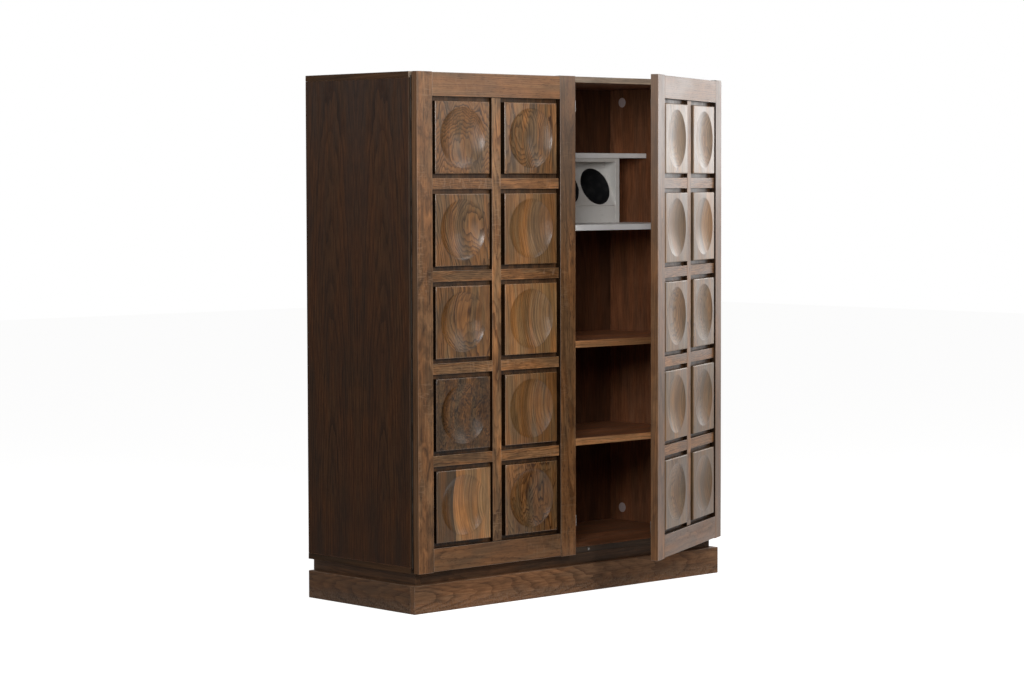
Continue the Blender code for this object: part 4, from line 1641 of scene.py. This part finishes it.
@dataclass
class PianoHinge:
    """A hinge as long as its door: two leaves with rolled knuckles in turn, countersunk screws, and a pin."""

    side: str
    body: Body
    inward: int
    foot: float = 0.115
    length: float = 1.275
    knuckles: int = 21
    radius: float = 0.0017
    sheet: float = 0.0007
    near: float = 0.001
    leaf: float = 0.0095
    seam: float = radians(14.0)
    fit: float = 0.0003
    screw_radius: float = 0.0023
    screws: int = 17
    curl: int = 20
    arris: float = 0.0002

    def build(self) -> None:
        """Makes both leaves and the pin."""
        shut = self.body.hinge
        for owner, body, behind, place in (
            ("carcass", Body.CARCASS, 1, shut),
            ("door", self.body, -1, self.body.place),
        ):
            node = f"{self.side}_hinge_{owner}_leaf"
            shapes = (self._plate, self._knuckles, self._screws)
            mesh = joined_mesh([shape(node, behind) for shape in shapes])
            mesh.transform(place)
            hand_over(node, mesh, body, [node], HINGE_STEEL_PAINTED_SHADE)
        node = f"{self.side}_hinge_pin"
        radius = self.radius - self.sheet - self.fit
        end, soft = self.length, 0.0003
        tip = 0.7 * radius
        profile = [(0, 0), (tip, 0), (radius, soft), (radius, end - soft), (tip, end), (0, end)]
        bm = bmesh.new()
        add_turned(bm, profile, 16, shut @ Matrix.Translation((0, 0, self.foot)))
        mesh = new_mesh(node, bm, smooth=True)
        hand_over(node, mesh, Body.CARCASS, [node], HINGE_STEEL_PAINTED_SHADE)

    def _plate(self, node: str, behind: int) -> Mesh:
        """A leaf's flat plate.

        Args:
            node: the leaf's node.
            behind: 1 for a plate behind the pin, -1 for one in front.
        Returns:
            Its mesh, about the hinge line.
        """
        bm = bmesh.new()
        ys = sorted((behind * self.near, behind * (self.near + self.sheet)))
        xs = sorted((self.inward * (self.radius + 2 * self.fit), self.inward * self.leaf))
        add_box(bm, (xs[0], ys[0], self.foot), (xs[1], ys[1], self.foot + self.length))
        return arrised(new_mesh(f"{node}_plate", bm), self.arris)

    def _knuckles(self, node: str, behind: int) -> Mesh:
        """A leaf's knuckles, rolled from the plate round the pin.

        Args:
            node: the leaf's node.
            behind: as for the plate.
        Returns:
            Their mesh.
        """
        far, inner = self.near + self.sheet, self.radius - self.sheet
        root = self.radius + 2 * self.fit + self.sheet
        seam = 2 * pi - self.seam
        outline = [(root, far)]
        for reach, first, last in ((self.radius, pi / 2, seam), (inner, seam, pi / 2)):
            for k in range(self.curl + 1):
                turn = first + (last - first) * k / self.curl
                outline.append((reach * cos(turn), reach * sin(turn)))
        outline.append((root, self.near))
        pitch = self.length / self.knuckles
        own = 0 if behind > 0 else 1
        low = self.foot + own * pitch + self.fit
        bm = bmesh.new()
        ends = []
        for height in (low, low + pitch - 2 * self.fit):
            ends.append([bm.verts.new((self.inward * x, behind * y, height)) for x, y in outline])
        count = len(outline)
        for k in range(count):
            following = (k + 1) % count
            bm.faces.new((ends[0][k], ends[0][following], ends[1][following], ends[1][k]))
        for ring in ends:
            for k in range(count // 2 - 1):
                bm.faces.new([ring[j] for j in (k, k + 1, count - 2 - k, count - 1 - k)])
        knuckle = new_mesh(f"{node}_knuckle", bm, smooth=True)
        rows = len(range(own, self.knuckles, 2))
        return REPEAT.repeat(knuckle, HINGE_STEEL_PAINTED_SHADE, rows=(rows, 2 * pitch))

    def _screws(self, node: str, behind: int) -> Mesh:
        """The slotted screw heads along a leaf, a tenth of a millimetre proud.

        Args:
            node: the leaf's node.
            behind: as for the plate.
        Returns:
            Their mesh.
        """
        proud, sunk, slot, steps, lift = 0.00008, 0.0002, 0.0003, 10, radians(8)
        face = behind * self.near
        middle = self.inward * (self.radius + self.leaf) / 2
        pitch = self.length / self.screws
        bm = bmesh.new()
        for half in (1, -1):
            arc = [lift + (pi - 2 * lift) * k / steps for k in range(steps + 1)]
            reach, rise = self.screw_radius, self.screw_radius - slot
            rim = [(reach * cos(t), half * (slot + rise * sin(t))) for t in arc]
            top, foot = (
                [bm.verts.new((middle + x, face + shift, self.foot + pitch / 2 + z)) for x, z in rim]
                for shift in (-behind * proud, behind * sunk)
            )
            bm.faces.new(top)
            bm.faces.new(foot)
            for k in range(len(rim)):
                following = (k + 1) % len(rim)
                bm.faces.new((top[k], top[following], foot[following], foot[k]))
        screw = new_mesh(f"{node}_screw", bm)
        return REPEAT.repeat(screw, HINGE_STEEL_PAINTED_SHADE, rows=(self.screws, pitch))


@dataclass
class BottleRack:
    """The white unit: two boards, cheeks, header and fascia, and a tilted panel with seven black sleeves."""

    tilt: float = radians(21.0)
    sleeves: int = 7
    pitch: float = 0.1229
    diameter: float = 0.110
    wall: float = 0.003
    lip: float = 0.0005
    fit: float = 0.0003
    board: float = 0.012
    lower_edge: float = 0.003
    upper_edge: float = 0.031
    fascia: float = 0.0495
    arris: float = 0.0009
    sides: int = 96

    def build(self) -> None:
        """Makes the whole unit."""
        boards = ("bar_upper_board", "bar_lower_board")
        for node in (*boards, "rack_left_cheek", "rack_right_cheek", "rack_header", "rack_fascia"):
            finish = WHITE_EDGING if node in boards else WHITE_LAMINATE
            mesh = arrised(node_copy(node), self.arris)
            hand_over(node, mesh, Body.CARCASS, [node], finish)
        low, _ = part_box("rack_fascia")
        hole = self.diameter / 2 + self.fit
        rise = self.lower_edge + hole + self.fit
        centre = Vector((0, low.y + rise * sin(self.tilt), low.z + self.fascia + rise * cos(self.tilt)))
        place = Matrix.Translation(centre) @ Matrix.Rotation(pi / 2 - self.tilt, 4, "X")
        mesh = self._perforated(hole)
        mesh.transform(place)
        hand_over("rack_panel", mesh, Body.CARCASS, ["rack_panel"])
        self._build_sleeves(place)

    def _build_sleeves(self, place: Matrix) -> None:
        """Makes the row of black cups.

        Args:
            place: the panel's own frame, with the holes' middles along X.
        """
        outer, inner = self.diameter / 2, self.diameter / 2 - self.wall
        low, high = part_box("bottle_sleeve_1")
        length = (high.y - low.y - 2 * outer * sin(self.tilt)) / cos(self.tilt) - self.lip
        top, foot, bed = self.lip, -length, self.wall - length
        profile = [
            (0, foot),
            (outer - 0.002, foot),
            (outer - 0.0006, foot + 0.0006),
            (outer, foot + 0.002),
            (outer, top - 0.0009),
            (outer - 0.0003, top - 0.0003),
            (outer - 0.0009, top),
            (inner + 0.0009, top),
            (inner + 0.0003, top - 0.0003),
            (inner, top - 0.0009),
            (inner, bed + 0.003),
            (inner - 0.0009, bed + 0.0009),
            (inner - 0.003, bed),
            (0, bed),
        ]
        first = place @ Matrix.Translation((-(self.sleeves - 1) / 2 * self.pitch, 0, 0))
        bm = bmesh.new()
        add_turned(bm, profile, self.sides, first)
        cup = new_mesh("bottle_sleeve", bm, smooth=True)
        mesh = REPEAT.repeat(cup, BLACK_SLEEVE, (self.sleeves, self.pitch))
        nodes = [f"bottle_sleeve_{k}" for k in range(1, self.sleeves + 1)]
        hand_over("sleeves", mesh, Body.CARCASS, nodes)

    def _perforated(self, hole: float) -> Mesh:
        """The tilted panel with its holes.

        Args:
            hole: the holes' radius.
        Returns:
            The panel in its own frame: X along it, Y up its slope, Z out of its face.
        """
        values = {
            "Width": self.sleeves * self.pitch,
            "Slope": self.lower_edge + 2 * hole + self.upper_edge,
            "Shift": (self.upper_edge - self.lower_edge) / 2,
            "Hole radius": hole,
            "Pitch": self.pitch,
            "Start": -(self.sleeves - 1) / 2 * self.pitch,
            "Thickness": self.board,
            "Holes": self.sleeves,
            "Sides": self.sides,
        }
        return PerforatedTree().run(bpy.data.meshes.new("rack_panel_blank"), WHITE_LAMINATE, values)


@dataclass
class Fittings:
    """Cover caps, catches, keepers and magnets."""

    cap_radius: float = 0.014
    cap_height: float = 0.002
    arris: float = 0.0006
    plate_arris: float = 0.0002

    def build(self) -> None:
        """Makes all the small fittings."""
        for side, out in (("left", 1), ("right", -1)):
            nodes = [f"cover_cap_{side}_{level}" for level in ("lower", "upper")]
            (low, high), (_, above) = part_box(nodes[0]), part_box(nodes[1])
            wall = low.x if out > 0 else high.x
            middle = (low + high) / 2
            turn = Matrix.Translation((wall, middle.y, middle.z)) @ Matrix.Rotation(out * pi / 2, 4, "Y")
            bm = bmesh.new()
            add_turned(bm, self._dome(), 48, turn)
            cap = new_mesh(f"{side}_cap", bm, smooth=True)
            rows = (2, above.z - high.z)
            mesh = REPEAT.repeat(cap, CAP_PLASTIC, rows=rows)
            hand_over(f"{side}_caps", mesh, Body.CARCASS, nodes)
        for level in ("upper", "lower"):
            self._small(f"meeting_catch_{level}", Body.LEFT_DOOR, PALE_PLASTIC, self.arris)
            node = f"right_door_{level}_keeper"
            self._small(node, Body.RIGHT_DOOR, PLATE_STEEL, self.plate_arris)
        for side, body in (("left", Body.LEFT_DOOR), ("right", Body.RIGHT_DOOR)):
            self._round(f"{side}_door_magnet_keeper", body)
            self._round(f"edge_magnet_{side}", Body.CARCASS)

    def _dome(self) -> list[tuple[float, float]]:
        """The profile of a cover cap, with a small flat on top and a rounded rim."""
        radius, height = self.cap_radius, self.cap_height
        shares = (0.2, 0.4, 0.6, 0.75, 0.87, 0.95)
        crown = [(radius * share, height * (1 - 0.65 * share**3)) for share in shares]
        return [(0, height), *crown, (radius, 0.3 * height), (radius, 0), (0, 0)]

    def _small(self, node: str, body: Body, finish: Finish, arris: float) -> None:
        """Makes a small fitting with rounded arrises.

        Args:
            node: its CAD node.
            body: the body that it moves with.
            finish: its finish.
            arris: how far its edges are rounded.
        """
        hand_over(node, arrised(node_copy(node), arris), body, [node], finish)

    def _round(self, node: str, body: Body) -> None:
        """Makes a small round steel fitting that faces the front of its body.

        Args:
            node: its CAD node.
            body: the body that it moves with.
        """
        spots = body.own(read(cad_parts[node].data.vertices, "co", 3))
        low, high = spots.min(0), spots.max(0)
        radius, deep = (high[2] - low[2]) / 2, high[1] - low[1]
        soft = 0.0003
        profile = [(0, 0), (radius, 0), (radius, deep - soft), (radius - soft, deep), (0, deep)]
        place = Matrix.Translation(((low[0] + high[0]) / 2, high[1], (low[2] + high[2]) / 2))
        bm = bmesh.new()
        add_turned(bm, profile, 40, body.place @ place @ Matrix.Rotation(pi / 2, 4, "X"))
        hand_over(node, new_mesh(node, bm, smooth=True), body, [node], PLATE_STEEL)


@dataclass(frozen=True)
class StudioLamp:
    """A soft rectangular lamp."""

    name: str
    place: tuple[float, float, float]
    target: tuple[float, float, float]
    width: float
    height: float
    watts: float
    spread: float = pi

    def build(self) -> None:
        """Puts the lamp up, aimed at its target."""
        light = bpy.data.lights.new(self.name, "AREA")
        light.shape = "RECTANGLE"
        light.size = self.width
        light.size_y = self.height
        light.energy = self.watts
        light.spread = self.spread
        lamp = placed(self.name, light)
        lamp.location = self.place
        lamp.rotation_euler = (Vector(self.target) - Vector(self.place)).to_track_quat("-Z", "Y").to_euler()
        lamp.visible_camera = False


@dataclass
class Studio:
    """The white floor and surround, the lamps and the camera."""

    lamps: tuple[StudioLamp, ...] = (
        StudioLamp("main_softbox", (-2.01, -2.15, 1.85), (0.0, -0.2, 1.65), 0.85, 1.3, 18.2, radians(110)),
        StudioLamp("front_strip", (-0.18, -2.5, 1.5), (-0.2, -0.2, 1.3), 0.2, 0.4, 17.0),
        StudioLamp("front_card", (0.32, -2.5, 1.2), (-0.3, -0.2, 0.95), 0.3, 1.1, 5.6),
        StudioLamp("dish_card", (1.1, -1.65, 2.25), (-0.3, -0.22, 1.15), 1.3, 0.45, 9.5),
        StudioLamp("right_card", (2.3, 0.1, 1.45), (0.3, -0.35, 1.45), 1.5, 0.7, 12.8),
        StudioLamp("right_low_card", (2.3, 0.1, 0.8), (0.3, -0.35, 0.8), 1.5, 0.6, 3.6),
        StudioLamp("door_card", (2.05, -2.42, 1.75), (-0.3, -0.2, 1.75), 1.1, 1.1, 9.0),
        StudioLamp("side_card", (-2.7, 2.1, 1.75), (-0.57, 0.0, 1.75), 1.2, 1.1, 18.0),
    )
    ambient: float = 0.12
    floor_colour: Colour = (0.6, 0.59, 0.58)
    floor_glow: float = 0.9
    floor_half: float = 14.0
    focal_pixels: float = 2822.77
    image_width: float = 1024.0
    eye: tuple[float, float, float] = (-5.3105, -5.6994, 1.1157)
    yaw: float = radians(42.877)
    pitch: float = radians(-3.233)
    roll: float = radians(-0.15)

    def build(self) -> None:
        """Builds the studio."""
        for lamp in self.lamps:
            lamp.build()
        self._world()
        self._floor()
        self._camera()
        bpy.context.scene.view_settings.view_transform = "Standard"

    def _world(self) -> None:
        """Makes the surround: white where it is seen, and a dim even light otherwise."""
        world = bpy.data.worlds.new("white_surround")
        g = ShaderGraph(world)
        shades = (
            g.out("ShaderNodeBackground", {"Color": (1.0, 1.0, 1.0), "Strength": strength})
            for strength in (self.ambient, 1.0)
        )
        mix = g.out("ShaderNodeMixShader", (g.seen(), *shades))
        g.node("ShaderNodeOutputWorld", (mix,))
        bpy.context.scene.world = world

    def _floor(self) -> None:
        """Makes the pale floor, which glows to white where it is seen and keeps the cabinet's shadow."""
        g = ShaderGraph(bpy.data.materials.new("pale_floor"))
        plain = g.out("ShaderNodeBsdfDiffuse", {"Color": self.floor_colour})
        glow = g.out("ShaderNodeEmission", {"Strength": self.floor_glow})
        bright = g.out("ShaderNodeAddShader", (plain, glow))
        mix = g.out("ShaderNodeMixShader", (g.seen(), plain, bright))
        g.node("ShaderNodeOutputMaterial", (mix,))
        half = self.floor_half
        corners = [(-half, -half, 0), (half, -half, 0), (half, half, 0), (-half, half, 0)]
        mesh = bpy.data.meshes.new("studio_floor")
        mesh.from_pydata(corners, [], [(0, 1, 2, 3)])
        mesh.materials.append(g.owner)
        floor = placed("studio_floor", mesh)

    def _camera(self) -> None:
        """Sets the camera up where the photograph was taken."""
        data = bpy.data.cameras.new("photo_camera")
        data.sensor_fit = "HORIZONTAL"
        data.sensor_width = 36.0
        data.lens = self.focal_pixels * data.sensor_width / self.image_width
        camera = placed("photo_camera", data)
        turn = Matrix.Rotation(-self.yaw, 4, "Z") @ Matrix.Rotation(pi / 2 + self.pitch, 4, "X")
        camera.matrix_world = Matrix.Translation(self.eye) @ turn @ Matrix.Rotation(self.roll, 4, "Z")
        bpy.context.scene.camera = camera


def main() -> None:
    """Builds the studio and then the cabinet, one sub-assembly after another."""
    logging.basicConfig(level=logging.INFO, format="%(name)s: %(message)s")
    assemblies = (
        Studio(),
        Case(),
        Base(),
        BottleRack(),
        Fittings(),
        CarvedDoor(Body.LEFT_DOOR, 1, LEFT_BLOCKS),
        # The door that stands open: less painted shade on its blocks' walls, and its painted sheen
        CarvedDoor(Body.RIGHT_DOOR, -1, RIGHT_BLOCKS, wall_stain=0.5, timber=SHEEN_PAINTED_TIMBER),
        PianoHinge("left", Body.LEFT_DOOR, 1),
        PianoHinge("right", Body.RIGHT_DOOR, -1),
    )
    for assembly in assemblies:
        LOG.info("building %s", type(assembly).__name__)
        assembly.build()


if __name__ == "__main__":
    main()
